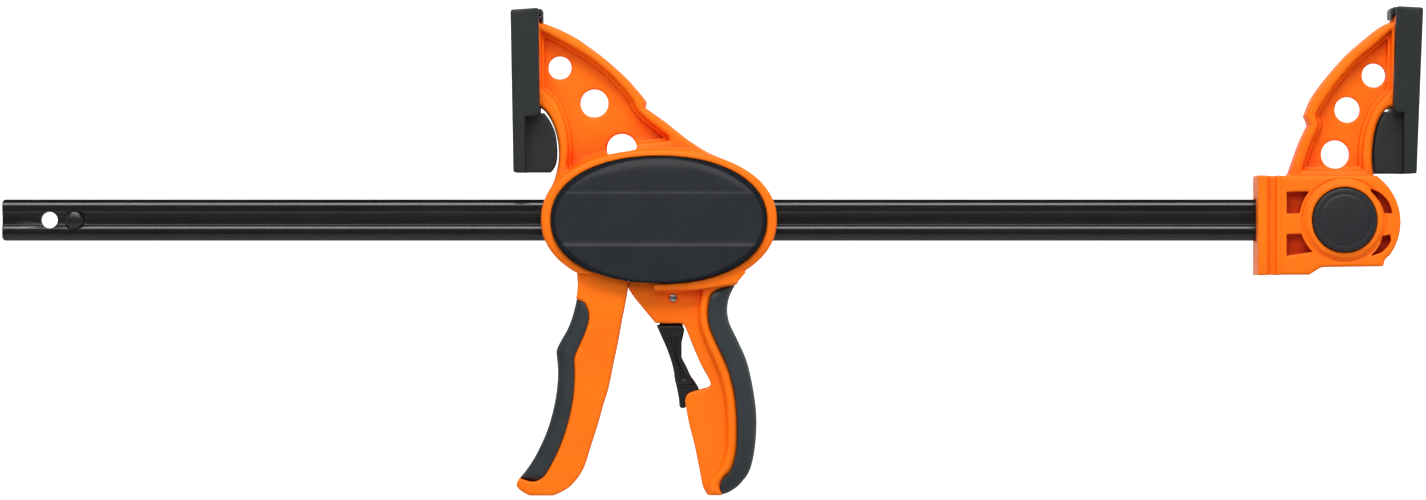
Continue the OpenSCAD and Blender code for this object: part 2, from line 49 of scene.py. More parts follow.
# ------------------------------------------------------------------ outlines (mm, X and Z)
def smooth(p, n=6):
    p = [np.array(q, float) for q in p]
    out = []
    for i in range(len(p) - 1):
        a, b, c, d = p[max(i - 1, 0)], p[i], p[i + 1], p[min(i + 2, len(p) - 1)]
        for k in range(n):
            t = k / n
            out.append(0.5 * (2 * b + (c - a) * t + (2 * a - 5 * b + 4 * c - d) * t * t + (3 * b - a - 3 * c + d) * t ** 3))
    out.append(p[-1])
    return [tuple(q) for q in out]

def rev(p):
    return list(p)[::-1]

def shift(p, v):
    return [(q[0] + v[0], q[1] + v[1]) for q in p]

def oval(a, b, c=(297.6, 0), e=2.15, n=200):
    t = np.arange(n) * 2 * math.pi / n
    x = c[0] + a * np.sign(np.cos(t)) * np.abs(np.cos(t)) ** (2 / e)
    z = c[1] + b * np.sign(np.sin(t)) * np.abs(np.sin(t)) ** (2 / e)
    return list(zip(x, z))

def arc(c, r, a0, a1, n=12):
    return [(c[0] + r * math.cos(math.radians(a0 + (a1 - a0) * i / n)), c[1] + r * math.sin(math.radians(a0 + (a1 - a0) * i / n))) for i in range(n + 1)]

PIV, REL, FUL, LOCK = (263.8, 16.0), (304.5, -38.0), (306.0, -12.5), 631.0
POSTS = [(272.5, 24.5), (313, 25.3), (338, -14), (317, -23.5)]

arm_back = [(238.9, 99.4), (239.3, 96)] + smooth([(241.4, 95.6), (248.8, 92.6), (257.5, 88.1), (265.2, 82.7), (271, 78.2), (276.4, 73.6), (281.2, 69.1), (285.8, 64.1), (289.5, 59.7), (291.1, 57.4)])
arm_back2 = smooth([(290.4, 54.6), (299.8, 48), (311, 39.2), (322, 32), (336, 24)])
arm_front = smooth([(238.9, 56.2), (243.3, 52.2), (246.6, 46), (248.6, 39), (249.2, 32), (248.6, 26), (246.4, 18), (243, 11), (241, 4)])
arm_outline = arm_back + arm_back2 + [(330, 0), (250, 0)] + rev(arm_front) + [(238.4, 56.2), (237.4, 99.6)]
arm_pocket = smooth([(240.1, 91.8), (249, 87.4), (258, 82.4), (266, 77.2), (273, 71.4), (279, 65.2), (284.4, 58.6), (286.6, 54), (291.4, 49), (297, 44.6), (302, 40.6)]) + \
    [(302.4, 38.6), (287, 37.4), (280, 33.2), (272, 31.6), (262, 28.6), (254, 24)] + \
    rev(smooth([(240.2, 64.2), (247, 58), (250.4, 51), (252.6, 43), (253.4, 35), (253, 27)]))
head_back = [(656.2, 99.6), (655.8, 96.7)] + smooth([(653.4, 95.7), (649.6, 93.7), (643.8, 89.2), (634.8, 81.6), (627.5, 73.8), (621.1, 66), (615.8, 58.2), (612.8, 50.6)])
head_back2 = smooth([(614.6, 46.2), (610.9, 38.7), (608, 31), (604.5, 21)])
head_front = smooth([(656.2, 55.6), (651.8, 54), (648.2, 48.6), (646, 41), (645, 32), (645.4, 24), (646.4, 18), (650, 12)])
head_outline = head_back + head_back2 + [(604.5, 12), (650, 12)] + rev(head_front) + [(656.4, 55.6), (658.2, 99.8)]
head_pocket = smooth([(654.5, 92.2), (647, 85.6), (638.5, 78.6), (631, 70.8), (625, 63), (620, 55.4), (617.8, 50.8), (619, 46), (615.6, 38), (612.6, 29.6), (611.2, 24.4)]) + \
    [(640.6, 24.4)] + rev(smooth([(654.1, 63.4), (647.2, 56), (643.6, 48.6), (641.2, 40.6), (640.4, 32), (640.6, 25.4)]))
trig_left = smooth([(258, -31), (257.6, -36), (256.1, -44), (253.4, -52), (249.4, -59.2), (247.5, -63.6), (247.7, -67.4), (248.2, -73), (247.9, -80), (246.3, -90.6), (243, -102.3), (237.7, -114), (232.8, -121.7), (229.2, -126)])
trig_toe = smooth([(229.2, -126), (228.2, -129.2), (230.6, -132), (234.6, -134.2)])
trig_right = smooth([(246, -134.2), (250.6, -132.2), (255.4, -128.8), (260.5, -121.7), (264.4, -110), (267.6, -100), (270.2, -90.6), (272.6, -83), (275.1, -71), (277.5, -59.5), (278.9, -51.7), (280.4, -44), (281.9, -36), (282.6, -31)])
trig_split = smooth([(257.2, -38.4), (261, -40.4), (263, -44.4), (263.3, -48.4), (261.4, -54.8), (258.4, -61.6), (256.2, -67.4), (256.4, -75), (255.6, -86.6), (253.2, -98.4), (249.3, -110), (244.4, -120), (240.6, -125.4), (236, -127.4), (229.6, -125.6)])
plate_left = smooth([(282.8, -30), (283.6, -35), (290.6, -44), (296, -50.4)])
window_edge = smooth([(310.6, -53), (314.9, -63.4), (318.3, -71), (322.4, -78.6), (321.8, -81.4), (316, -83), (311.6, -84.8), (310.2, -88)])
handle_front = smooth([(310.2, -88), (312, -98.4), (314.9, -110), (317.3, -121.7), (318.8, -129.4), (320.6, -132.6), (323.4, -134.2)])
grip_split = smooth([(335.2, -31), (327, -33.6), (323.2, -36.8), (321.7, -43), (322, -50), (324.1, -56), (327.5, -63.4), (331.1, -71.4), (333.8, -80.6), (335.2, -90), (335.8, -100), (335.4, -112), (333, -121.4), (329.2, -125.8), (327.4, -129.6), (328.2, -134)])
grip_out = smooth([(335.2, -31), (331.8, -38), (330.9, -45), (332.4, -51), (336.5, -59.5), (340.6, -69), (343.2, -80), (344.9, -91), (345.3, -100), (344.4, -112), (342, -122), (337.6, -128.4), (332.6, -132.4), (328.2, -134)])
rim_in = smooth([(318.4, -34), (317.2, -43), (317.6, -51), (320, -59), (324, -68), (327.6, -77), (329.8, -88), (330.6, -100), (330.2, -112), (327.4, -120.6), (323.6, -125.4), (321.6, -129), (321.6, -134.2)])

# ------------------------------------------------------------------ distance fields (mm)
class G:
    """A box of grid points on which distance fields are added up; surfaces come out of it as clean meshes."""
    def __init__(s, x, y, z, v):
        s.v = v
        s.o = np.array([x[0], y[0], z[0]], float)
        n = [int(math.ceil((b - a) / v)) + 1 for a, b in (x, y, z)]
        s.x = (x[0] + v * np.arange(n[0])).astype(np.float32)
        s.y = (y[0] + v * np.arange(n[1])).astype(np.float32)
        s.z = (z[0] + v * np.arange(n[2])).astype(np.float32)
        s.X, s.Y, s.Z = s.x[:, None, None], s.y[None, :, None], s.z[None, None, :]
        s.x2, s.z2 = s.x[:, None], s.z[None, :]

    def poly(s, P):
        px, pz = s.x2, s.z2
        P = np.array(P, np.float32)
        d = np.full((len(s.x), len(s.z)), 1e9, np.float32)
        inside = np.zeros(d.shape, bool)
        for i in range(len(P)):
            a, b = P[i - 1], P[i]
            e = b - a
            L = float(e @ e)
            if L < 1e-10:
                continue
            wx, wz = px - a[0], pz - a[1]
            t = np.clip((wx * e[0] + wz * e[1]) / L, 0, 1)
            d = np.minimum(d, (wx - t * e[0]) ** 2 + (wz - t * e[1]) ** 2)
            if a[1] != b[1]:
                c = ((pz >= a[1]) != (pz >= b[1])) & (px < (b[0] - a[0]) * (pz - a[1]) / (b[1] - a[1]) + a[0])
                inside ^= c
        d = np.sqrt(d)
        return np.where(inside, -d, d)

    def circ(s, c, r):
        return np.sqrt((s.x2 - c[0]) ** 2 + (s.z2 - c[1]) ** 2) - r

    def ext(s, d2, h, r=0.0, yc=0.0):
        a = d2[:, None, :] + r
        b = np.abs(s.Y - yc) - h + r
        return np.minimum(np.maximum(a, b), 0) + np.sqrt(np.maximum(a, 0) ** 2 + np.maximum(b, 0) ** 2) - r

    def span(s, d2, y0, y1, r=0.0):
        return s.ext(d2, (y1 - y0) / 2, r, (y0 + y1) / 2)

    def box(s, x0, x1, y0, y1, z0, z1, r=0.0):
        qx, qy, qz = np.abs(s.X - (x0 + x1) / 2) - (x1 - x0) / 2 + r, np.abs(s.Y - (y0 + y1) / 2) - (y1 - y0) / 2 + r, np.abs(s.Z - (z0 + z1) / 2) - (z1 - z0) / 2 + r
        out = np.sqrt(np.maximum(qx, 0) ** 2 + np.maximum(qy, 0) ** 2 + np.maximum(qz, 0) ** 2)
        return out + np.minimum(np.maximum(np.maximum(qx, qy), qz), 0) - r

def smin(a, b, k):
    h = np.clip(0.5 + 0.5 * (b - a) / k, 0, 1)
    return b + (a - b) * h - k * h * (1 - h)

def smax(a, b, k):
    return -smin(-a, -b, k)

def umin(*a):
    out = a[0]
    for b in a[1:]:
        out = np.minimum(out, b)
    return out

def make(name, verts, faces, mat, body, node=None, slot=None):
    """A mesh object in metres from points in mm, with its material, riding on its body."""
    me = bpy.data.meshes.new(name)
    verts = np.array(verts, np.float64) / 1000
    verts[:, 2] = np.maximum(verts[:, 2], -0.13419)
    verts[:, 1] = np.clip(verts[:, 1], -0.01929, 0.01929)
    if isinstance(faces, np.ndarray) or (isinstance(faces, tuple)):
        tris, quads = faces if isinstance(faces, tuple) else (faces, np.zeros((0, 4), int))
        loops = np.concatenate([tris.reshape(-1), quads.reshape(-1)]).astype(np.int32)
        starts = np.concatenate([np.arange(len(tris)) * 3, len(tris) * 3 + np.arange(len(quads)) * 4]).astype(np.int32)
        me.vertices.add(len(verts)); me.vertices.foreach_set("co", verts.astype(np.float32).ravel())
        me.loops.add(len(loops)); me.loops.foreach_set("vertex_index", loops)
        me.polygons.add(len(starts)); me.polygons.foreach_set("loop_start", starts)
        me.update(calc_edges=True)
        me.validate()
    else:
        me.from_pydata([tuple(v) for v in verts], [], faces)
    return finish_mesh(name, me, mat, body, node)

def finish_mesh(name, me, mat, body, node=None, flat=False):
    me.polygons.foreach_set("use_smooth", [not flat] * len(me.polygons))
    me.update()
    o = bpy.data.objects.new(name, me)
    C.collection.objects.link(o)
    me.materials.clear()
    me.materials.append(mat)
    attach(o, body)
    if node:
        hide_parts(*([node] if isinstance(node, str) else node))
    return o

def extract(g, d, adapt=0.0, relax=4):
    """The zero surface of a distance field as a closed mesh, with a shrink-free relax of its vertices."""
    v = g.v
    arr = np.clip(d, -3 * v, 3 * v).astype(np.float32)
    arr[[0, -1]] = 3 * v; arr[:, [0, -1]] = 3 * v; arr[:, :, [0, -1]] = 3 * v
    grid = vdb.FloatGrid(3 * v)
    grid.copyFromArray(arr, tolerance=0)
    pts, tris, quads = grid.convertToPolygons(isovalue=0.0, adaptivity=adapt)
    pts = pts.astype(np.float64) * v + g.o
    tris, quads = tris.astype(np.int64).reshape(-1, 3), quads.astype(np.int64).reshape(-1, 4)
    T = np.concatenate([tris, quads[:, [0, 1, 2]], quads[:, [0, 2, 3]]])
    a, b, c = pts[T[:, 0]], pts[T[:, 1]], pts[T[:, 2]]
    if np.einsum("ij,ij->i", a, np.cross(b, c)).sum() < 0:
        tris, quads = tris[:, ::-1], quads[:, ::-1]
    E = np.concatenate([q[:, [i, (i + 1) % q.shape[1]]] for q in (tris, quads) for i in range(q.shape[1])])
    deg = np.bincount(E.ravel(), minlength=len(pts))
    for it in range(relax):
        for lam in (0.5, -0.52):
            m = np.stack([np.bincount(E[:, 0], pts[E[:, 1], k], len(pts)) + np.bincount(E[:, 1], pts[E[:, 0], k], len(pts)) for k in range(3)], 1)
            pts = pts + lam * (m / np.maximum(deg, 1)[:, None] - pts)
    return pts, (tris, quads)

def surface(g, d, name, mat, body, node, slot, adapt=0.0, relax=4):
    pts, faces = extract(g, d, adapt, relax)
    return make(name, pts, faces, mat, body, node, slot)

def join(parts):
    """Several meshes as one list of points and faces."""
    P, T, Q, n = [], [], [], 0
    for pts, (t, q) in parts:
        P.append(pts); T.append(t + n); Q.append(q + n); n += len(pts)
    return np.concatenate(P), (np.concatenate(T), np.concatenate(Q))

def lathe(prof, c, n=72):
    """A turned part along Y: prof is a list of (radius, y), starting and ending on the axis."""
    P, T, Q = [(c[0], prof[0][1], c[1])], [], []
    rings = prof[1:-1]
    for r, y in rings:
        for k in range(n):
            a = 2 * math.pi * k / n
            P.append((c[0] + r * math.cos(a), y, c[1] + r * math.sin(a)))
    P.append((c[0], prof[-1][1], c[1]))
    for k in range(n):
        T.append((0, 1 + k, 1 + (k + 1) % n))
        e = 1 + (len(rings) - 1) * n
        T.append((len(P) - 1, e + (k + 1) % n, e + k))
        for i in range(len(rings) - 1):
            a, b = 1 + i * n, 1 + (i + 1) * n
            Q.append((a + k, b + k, b + (k + 1) % n, a + (k + 1) % n))
    P, T, Q = np.array(P, float), np.array(T), np.array(Q).reshape(-1, 4)
    A = np.concatenate([T, Q[:, [0, 1, 2]], Q[:, [0, 2, 3]]])
    if np.einsum("ij,ij->i", P[A[:, 0]], np.cross(P[A[:, 1]], P[A[:, 2]])).sum() < 0:
        T, Q = T[:, ::-1], Q[:, ::-1]
    return P, (T, Q)

def sharp(o, deg=32):
    o.data.set_sharp_from_angle(angle=math.radians(deg))
    return o

# ------------------------------------------------------------------ materials
def nt(name):
    m = bpy.data.materials.new(name)
    m.use_nodes = True
    t = m.node_tree
    b = t.nodes["Principled BSDF"]
    return m, t, b

def noise(t, coord, scale, detail=4, rough=0.5):
    n = t.nodes.new("ShaderNodeTexNoise")
    n.inputs["Scale"].default_value = scale
    n.inputs["Detail"].default_value = detail
    n.inputs["Roughness"].default_value = rough
    t.links.new(coord, n.inputs["Vector"])
    return n.outputs["Fac"]

def ramp(t, fac, stops):
    r = t.nodes.new("ShaderNodeValToRGB")
    while len(r.color_ramp.elements) < len(stops):
        r.color_ramp.elements.new(0.5)
    for e, (p, c) in zip(r.color_ramp.elements, stops):
        e.position = p
        e.color = c if len(c) == 4 else (*c, 1)
    t.links.new(fac, r.inputs["Fac"])
    return r.outputs["Color"]

def mix(t, fac, a, b, blend="MIX"):
    m = t.nodes.new("ShaderNodeMix")
    m.data_type = "RGBA"
    m.blend_type = blend
    for i, v in ((0, fac), (6, a), (7, b)):
        if hasattr(v, "is_linked"):
            t.links.new(v, m.inputs[i])
        elif i == 0:
            m.inputs[i].default_value = v
        else:
            m.inputs[i].default_value = v if len(v) == 4 else (*v, 1)
    return m.outputs[2]

def maprange(t, v, a, b, c, d):
    n = t.nodes.new("ShaderNodeMapRange")
    for i, x in ((1, a), (2, b), (3, c), (4, d)):
        n.inputs[i].default_value = x
    t.links.new(v, n.inputs[0])
    return n.outputs[0]

def bump(t, h, strength, dist, normal=None):
    b = t.nodes.new("ShaderNodeBump")
    b.inputs["Strength"].default_value = strength
    b.inputs["Distance"].default_value = dist
    t.links.new(h, b.inputs["Height"])
    if normal is not None:
        t.links.new(normal, b.inputs["Normal"])
    return b.outputs["Normal"]

def plastic(name, base, light, dark, rough=(0.36, 0.5), grain=1500, grain_d=0.00002, edge=0.35, spec=0.5, coat=0.0, mottle=60, deep=None, rim=None):
    """Moulded plastic or rubber: mottled tone, fine moulded grain, lighter edges that are part wear and part painted
    highlight, painted shade in recesses when a deep colour is given, uneven gloss.
    """
    m, t, b = nt(name)
    co = t.nodes.new("ShaderNodeTexCoord").outputs["Object"]
    geo = t.nodes.new("ShaderNodeNewGeometry")
    big = noise(t, co, mottle, 3)
    fine = noise(t, co, grain, 2, 0.6)
    scr = noise(t, co, mottle * 7, 5, 0.65)
    tone = mix(t, maprange(t, big, 0.35, 0.65, 0, 1), dark, base)
    # painted highlight, partly wear: convex edges (high Pointiness) blend toward the lighter edge colour, standing in
    # for rim highlights
    edges = maprange(t, geo.outputs["Pointiness"], 0.515, 0.57, 0.0, edge)
    tone = mix(t, edges, tone, light)
    if deep:
        # painted shade: where ambient occlusion finds nearby geometry (recesses, under the ring, between parts) the
        # tone is pushed toward the darker, redder deep colour, and the most enclosed spots toward a dark red-brown
        ao = t.nodes.new("ShaderNodeAmbientOcclusion")
        ao.only_local = True
        ao.samples = 6
        ao.inputs["Distance"].default_value = 0.028
        tone = mix(t, maprange(t, ao.outputs["AO"], 0.5, 0.92, 0.85, 0.0), tone, deep)
        tone = mix(t, maprange(t, ao.outputs["AO"], 0.2, 0.55, 0.85, 0.0), tone, (0.42, 0.016, 0.0008))
    t.links.new(tone, b.inputs["Base Color"])
    t.links.new(maprange(t, scr, 0.3, 0.7, rough[0], rough[1]), b.inputs["Roughness"])
    b.inputs["Specular IOR Level"].default_value = spec
    if rim:
        # matt edge: the sheen dies out toward the rim of an oval part
        vm = t.nodes.new("ShaderNodeVectorMath")
        vm.operation = "SUBTRACT"
        t.links.new(co, vm.inputs[0])
        vm.inputs[1].default_value = (rim[0], 0.0, 0.0)
        vs = t.nodes.new("ShaderNodeVectorMath")
        vs.operation = "MULTIPLY"
        t.links.new(vm.outputs["Vector"], vs.inputs[0])
        vs.inputs[1].default_value = (1.0 / rim[1], 0.0, 1.0 / rim[2])
        vl = t.nodes.new("ShaderNodeVectorMath")
        vl.operation = "LENGTH"
        t.links.new(vs.outputs["Vector"], vl.inputs[0])
        t.links.new(maprange(t, vl.outputs["Value"], 0.955, 0.98, spec, 0.0), b.inputs["Specular IOR Level"])
    if coat:
        b.inputs["Coat Weight"].default_value = coat
        b.inputs["Coat Roughness"].default_value = 0.25
    n1 = bump(t, fine, 0.35, grain_d)
    t.links.new(bump(t, scr, 0.12, 0.00004, n1), b.inputs["Normal"])
    return m

def metal(name, base, dark, rough=(0.25, 0.42), metallic=1.0, brush=None, edge_wear_and_highlight=(0.5, 0.5, 0.5), edge=0.3, spec=0.5):
    m, t, b = nt(name)
    tc = t.nodes.new("ShaderNodeTexCoord").outputs["Object"]
    mp = t.nodes.new("ShaderNodeMapping")
    mp.inputs["Scale"].default_value = brush or (1, 1, 1)
    t.links.new(tc, mp.inputs["Vector"])
    co = mp.outputs["Vector"]
    geo = t.nodes.new("ShaderNodeNewGeometry")
    streak = noise(t, co, 320, 6, 0.6)
    patch = noise(t, tc, 45, 4)
    tone = mix(t, maprange(t, patch, 0.35, 0.7, 0, 1), dark, base)
    # convex edges (high Pointiness) blend toward the edge colour; where it is lighter than the base, as on the black
    # bar and pins, that is part wear and part painted edge highlight
    tone = mix(t, maprange(t, geo.outputs["Pointiness"], 0.52, 0.6, 0, edge), tone, edge_wear_and_highlight)
    t.links.new(tone, b.inputs["Base Color"])
    b.inputs["Metallic"].default_value = metallic
    b.inputs["Specular IOR Level"].default_value = spec
    t.links.new(maprange(t, streak, 0.3, 0.7, rough[0], rough[1]), b.inputs["Roughness"])
    t.links.new(bump(t, streak, 0.25, 0.00002), b.inputs["Normal"])
    return m

# orange_nylon's deep colour is painted shade, laid into its recesses and the spots under other parts
# the second colour of each plastic is its lighter edge colour: part wear, part painted highlight
ORANGE = plastic("orange_nylon", (1.0, 0.182, 0.004), (1.0, 0.26, 0.022), (0.97, 0.162, 0.003), rough=(0.46, 0.58), grain=1400, edge=0.5, spec=0.13, mottle=35, deep=(1.0, 0.085, 0.0015))
BLACKN = plastic("black_nylon", (0.0150, 0.0172, 0.0200), (0.045, 0.053, 0.062), (0.0122, 0.0142, 0.0168), rough=(0.38, 0.5), grain=2200, grain_d=0.00003, edge=0.3, spec=0.32)
COVERN = plastic("cover_nylon", (0.0118, 0.0145, 0.0180), (0.042, 0.053, 0.066), (0.0098, 0.0122, 0.0154), rough=(0.38, 0.5), grain=2200, grain_d=0.00003, edge=0.3, spec=0.32, rim=(0.2976, 0.0523, 0.0307))
GRIP = plastic("grip_rubber", (0.0215, 0.0285, 0.0335), (0.05, 0.06, 0.068), (0.0175, 0.0235, 0.028), rough=(0.5, 0.66), grain=2600, grain_d=0.00004, edge=0.25, spec=0.34)
PAD = plastic("pad_rubber", (0.0135, 0.0165, 0.0175), (0.045, 0.05, 0.055), (0.0105, 0.013, 0.0142), rough=(0.46, 0.62), grain=2400, grain_d=0.00004, edge=0.35, spec=0.32)
LEVER = plastic("lever_nylon", (0.0075, 0.0085, 0.0095), (0.04, 0.042, 0.045), (0.0055, 0.006, 0.007), rough=(0.3, 0.42), grain=2000, edge=0.3, spec=0.4)
# bar_black and pin_black: the lighter edge colour is part wear, part painted edge highlight
BARM = metal("bar_black", (0.0078, 0.0078, 0.0084), (0.0058, 0.0058, 0.0062), rough=(0.2, 0.3), metallic=0.0, brush=(0.03, 1, 1), edge_wear_and_highlight=(0.045, 0.045, 0.05), edge=0.5, spec=0.45)
PINM = metal("pin_black", (0.010, 0.010, 0.012), (0.006, 0.006, 0.008), rough=(0.22, 0.36), metallic=0.0, edge_wear_and_highlight=(0.1, 0.1, 0.11))
STEEL = metal("inner_steel", (0.56, 0.56, 0.57), (0.42, 0.42, 0.43), rough=(0.24, 0.42), brush=(1, 1, 0.06))
SPRING = metal("spring_steel", (0.6, 0.6, 0.6), (0.45, 0.45, 0.47), rough=(0.2, 0.34))
SCREW = metal("screw_steel", (0.6, 0.58, 0.56), (0.45, 0.44, 0.43), rough=(0.16, 0.3))

# ------------------------------------------------------------------ moving housing, arm and handle (one orange moulding)
def body_frame():
    v = 0.55
    g = G((228, 358), (-18, 18), (-137, 102), v)
    ro, ri = g.poly(oval(57.4, 34.4)), g.poly(oval(52.6, 31))
    arm, pocket = g.poly(arm_outline), g.poly(arm_pocket)
    web = g.ext(arm, 2.5, 0.6)
    rims = g.ext(np.maximum(arm, -pocket), 9, 2.0)
    step = g.ext(np.maximum(arm, -(pocket + 1.7)), 5.2, 0.7)
    d = smin(smin(web, step, 1.2), rims, 1.6)
    flange = g.ext(g.poly([(230.4, 99.4), (235, 99.4), (236.1, 56.6), (231.2, 56.6)]), 12, 0.8)
    neck = g.ext(g.poly([(234.6, 99.4), (239, 99.4), (239.6, 56.4), (235.6, 56.4)]), 9, 0.5)
    d = umin(d, flange, neck)
    # handle plate, raised rim along the grip and the tongue inside the grip
    plate = g.ext(g.poly(plate_left + [(297.2, -50.2), (308, -50.4), (309.6, -51.2)] + window_edge + handle_front + rev(grip_split) + [(318, -28)]), 9.2, 1.3)
    rim = g.ext(g.poly([(316.4, -30.5)] + rim_in + [(328.2, -134.2)] + rev(grip_split) + [(336.6, -29)]), 13, 2.6)
    d2 = smin(plate, rim, 2.4)
    tg = [q for q in grip_split if -118 < q[1] < -46]
    d2 = np.minimum(d2, g.ext(g.poly(tg + rev(shift(tg, (4.5, 0)))), 5, 0.5))
    d2 = np.maximum(d2, -134.1 - g.Z)
    ring = g.ext(ro, 16, 2.3)
    d = smin(smin(d, ring, 2.2), d2, 1.2)
    lip = [(295.4, -29), (295.4, -34.2), (316, -34.0), (335.2, -31.0), (340.2, -25.2), (330, -24), (312, -29)]
    for s in (-1, 1):
        d = smin(d, g.span(g.poly(lip), min(13.3 * s, 16 * s), max(13.3 * s, 16 * s), 1.0), 0.8)
    d = smax(d, -np.broadcast_to(ri[:, None, :], d.shape), 0.7)
    # inside: bar guides, pivot boss, cross walls, posts
    ov = g.ext(g.poly(oval(57, 34)), 13.4, 0)
    ins = umin(g.box(240, 250.2, -13.4, 13.4, -13, 13, 0.5), g.box(346.4, 355.5, -13.4, 13.4, -16, 16, 0.5),
               g.ext(g.circ(PIV, 6), 9.5, 0.5), g.box(260, 267.6, -9.5, 9.5, 16, 34, 0.5),
               g.box(298, 302, -13.4, 13.4, -24, 34, 0.3), g.box(298, 304, -9.2, 9.2, -34, -13.5, 0.3),
               g.box(298, 304.6, -9.2, 9.2, -14.5, -10.9, 0.3), g.box(325, 328, -13.4, 13.4, -34, 34, 0.3))
    for p in POSTS:
        ins = np.minimum(ins, g.span(g.circ(p, 3.6), -9, 13.4, 0.3))
    for b in ((271, 274, -8, 13, 25, 34), (311.5, 314.5, -8, 13, 26, 34), (315.5, 318.5, -8, 13, -34, -24), (338, 350, -8, 13, -15, -13)):
        ins = np.minimum(ins, g.box(*b))
    # a thin ledge round the inside of the ring, behind the seam of the covers
    ins = np.minimum(ins, g.ext(-g.poly(oval(51.5, 29.9)), 13.2, 0))
    d = np.minimum(d, np.maximum(ins, ov))
    # the way of the bar, lightening holes, trigger gap, lever slots
    cut = g.box(228, 362, -4.15, 4.15, -10.25, 10.25)
    big = lambda d2, r=0.0: g.ext(d2, 30, r)
    for c, r in (((249.2, 74.3), 5.6), ((266, 57), 6.8)):
        cut = np.minimum(cut, big(g.circ(c, r)))
    cut = np.minimum(cut, big(np.maximum(g.circ((279.4, 34.8), 7.3), -(ro - 0.3))))
    d = smax(d, -cut, 0.5)
    cut = g.ext(g.poly([(256.4, -40), (256.4, -20), (282.6, -20), (282.6, -40)]), 9.6)
    for s in (-1, 1):
        cut = np.minimum(cut, g.span(g.poly([(256.4, -40), (256.4, -20), (297.9, -20), (297.9, -30), (299.6, -34), (299.6, -40)]), min(9.5 * s, 13.4 * s), max(9.5 * s, 13.4 * s)))
        cut = np.minimum(cut, g.span(g.poly([(258, -40), (258, -26), (295.2, -26), (295.2, -36), (282.4, -36), (282.4, -40)]), min(13.3 * s, 20 * s), max(13.3 * s, 20 * s)))
    cut = np.minimum(cut, g.ext(g.poly([(305.5, -49.9), (312.8, -49.9), (312.9, -58.6), (310.4, -53), (308.6, -50.6)]), 7.5))
    cut = np.minimum(cut, g.ext(g.poly([(306.2, -14.7), (304.2, -20), (298.4, -34), (297, -52), (311, -52), (316.6, -40), (316.6, -24), (311.5, -14.7)]), 4.5))
    cut = np.minimum(cut, g.ext(g.poly([(309, -79), (326, -77), (322, -92), (318, -97), (309, -97)]), 6))
    for p in POSTS:
        cut = np.minimum(cut, g.span(g.circ(p, 1.7), -12, 14))
    d = smax(d, -cut, 0.5)
    # a small countersink round the visible pin
    d = smax(d, -g.span(g.circ(REL, 2.7), -10, -8.8, 0), 0.4)
    d = smax(d, -g.span(g.circ(REL, 1.8), -20, 20, 0), 0.2)
    surface(g, d, "frame_moulding", ORANGE, "carriage", "body_frame", "orange_nylon", adapt=0.02)

# ------------------------------------------------------------------ fixed head
def head_frame():
    v = 0.45
    g = G((586, 667), (-18, 18.5), (-29, 102), v)
    body = [(589, 21.5), (647, 21.5)] + arc((631, -1), 27.5, 48, -36, 24) + [(651, -19), (650, -22.6), (620, -23), (614, -26.7), (589, -26.7)]
    arm, pocket = g.poly(head_outline), g.poly(head_pocket)
    d = smin(g.ext(arm, 2.5, 0.5), g.ext(np.maximum(arm, -(pocket + 1.7)), 5.2, 0.7), 1.2)
    d = smin(d, g.ext(np.maximum(arm, -pocket), 9, 2.0), 1.6)
    d = umin(d, g.ext(g.poly([(657, 56.4), (661.6, 56.4), (663.2, 99.6), (658.6, 99.6)]), 12, 0.8),
             g.ext(g.poly([(655, 56.4), (658, 56.4), (659.6, 99.6), (656, 99.6)]), 9, 0.5))
    blk = g.ext(g.poly(body), 14, 1.6)
    blk = smin(blk, g.ext(g.poly([(588.8, 21.7), (593.6, 21.7), (593.6, -26.9), (588.8, -26.9)]), 15.2, 1.2), 0.6)
    blk = smin(blk, g.ext(g.poly([(598.2, 21.6), (599.8, 21.6), (599.8, -26.8), (598.2, -26.8)]), 14.6, 0.6), 0.7)
    # the groove between the two collar bands
    for s in (-1, 1):
        blk = smax(blk, -(g.box(594.5, 597.6, min(12.8 * s, 22 * s), max(12.8 * s, 22 * s), -40, 40)), 0.9)
    blk = smin(blk, g.span(g.circ((LOCK, 0), 18.6), -15.4, 16.3, 1.1), 1.4)
    blk = smax(blk, -(np.abs(g.ext(g.circ((LOCK, 0), 20.2), 40)) - 0.5 + np.maximum(13.6 - np.abs(g.Y), 0) * 3), 0.7)
    d = smin(d, blk, 1.4)
    cut = g.box(588 - 5, 654.6, -4.15, 4.15, -10.25, 10.25)
    for c, r in (((646.5, 70.6), 5.8), ((633.6, 53.8), 6.2), ((627.7, 32), 6.9)):
        cut = np.minimum(cut, g.ext(g.circ(c, r), 30))
    pk = [[(603, 13.7)] + arc((LOCK, 0), 22, 141, 172, 8) + [(603, 3.1)], [(603, -7)] + arc((LOCK, 0), 22, 198, 225, 8) + [(603, -17.4)],
          [(643.6, 15), (646.6, 14), (649.2, 12.4), (651.4, 10.2), (652.8, 8), (653.8, 5.4), (654.2, 3), (650.4, 3.4), (649.6, 6.2), (648.2, 8.8), (646.2, 11.4), (643.9, 13.9)], [(653.4, -7.1), (653.6, -10), (652.4, -12.6), (649.2, -15.8), (643.8, -17.6), (646.6, -14.6), (648.6, -11.4), (649.6, -7.8)]]
    pk2 = g.poly(pk[0])
    for P in pk[1:]:
        pk2 = np.minimum(pk2, g.poly(P))
    for s in (-1, 1):
        cut = np.minimum(cut, g.span(pk2, min(7 * s, 20 * s), max(7 * s, 20 * s), 0.5))
    d = smax(d, -cut, 0.6)
    cut = umin(g.span(g.circ((LOCK, 0), 15.9), -22, -6.4), g.span(g.circ((LOCK, 0), 16), 7, 22), g.ext(g.circ((LOCK, 0), 4.3), 9))
    for z in (-14.9, 11.1):
        cut = np.minimum(cut, g.box(LOCK - 4.3, LOCK + 4.3, -10, 10, z, z + 3.8))
    d = smax(d, -cut, 0.4)
    surface(g, d, "head_moulding", ORANGE, "bar", "head_frame", "orange_nylon", adapt=0.02)

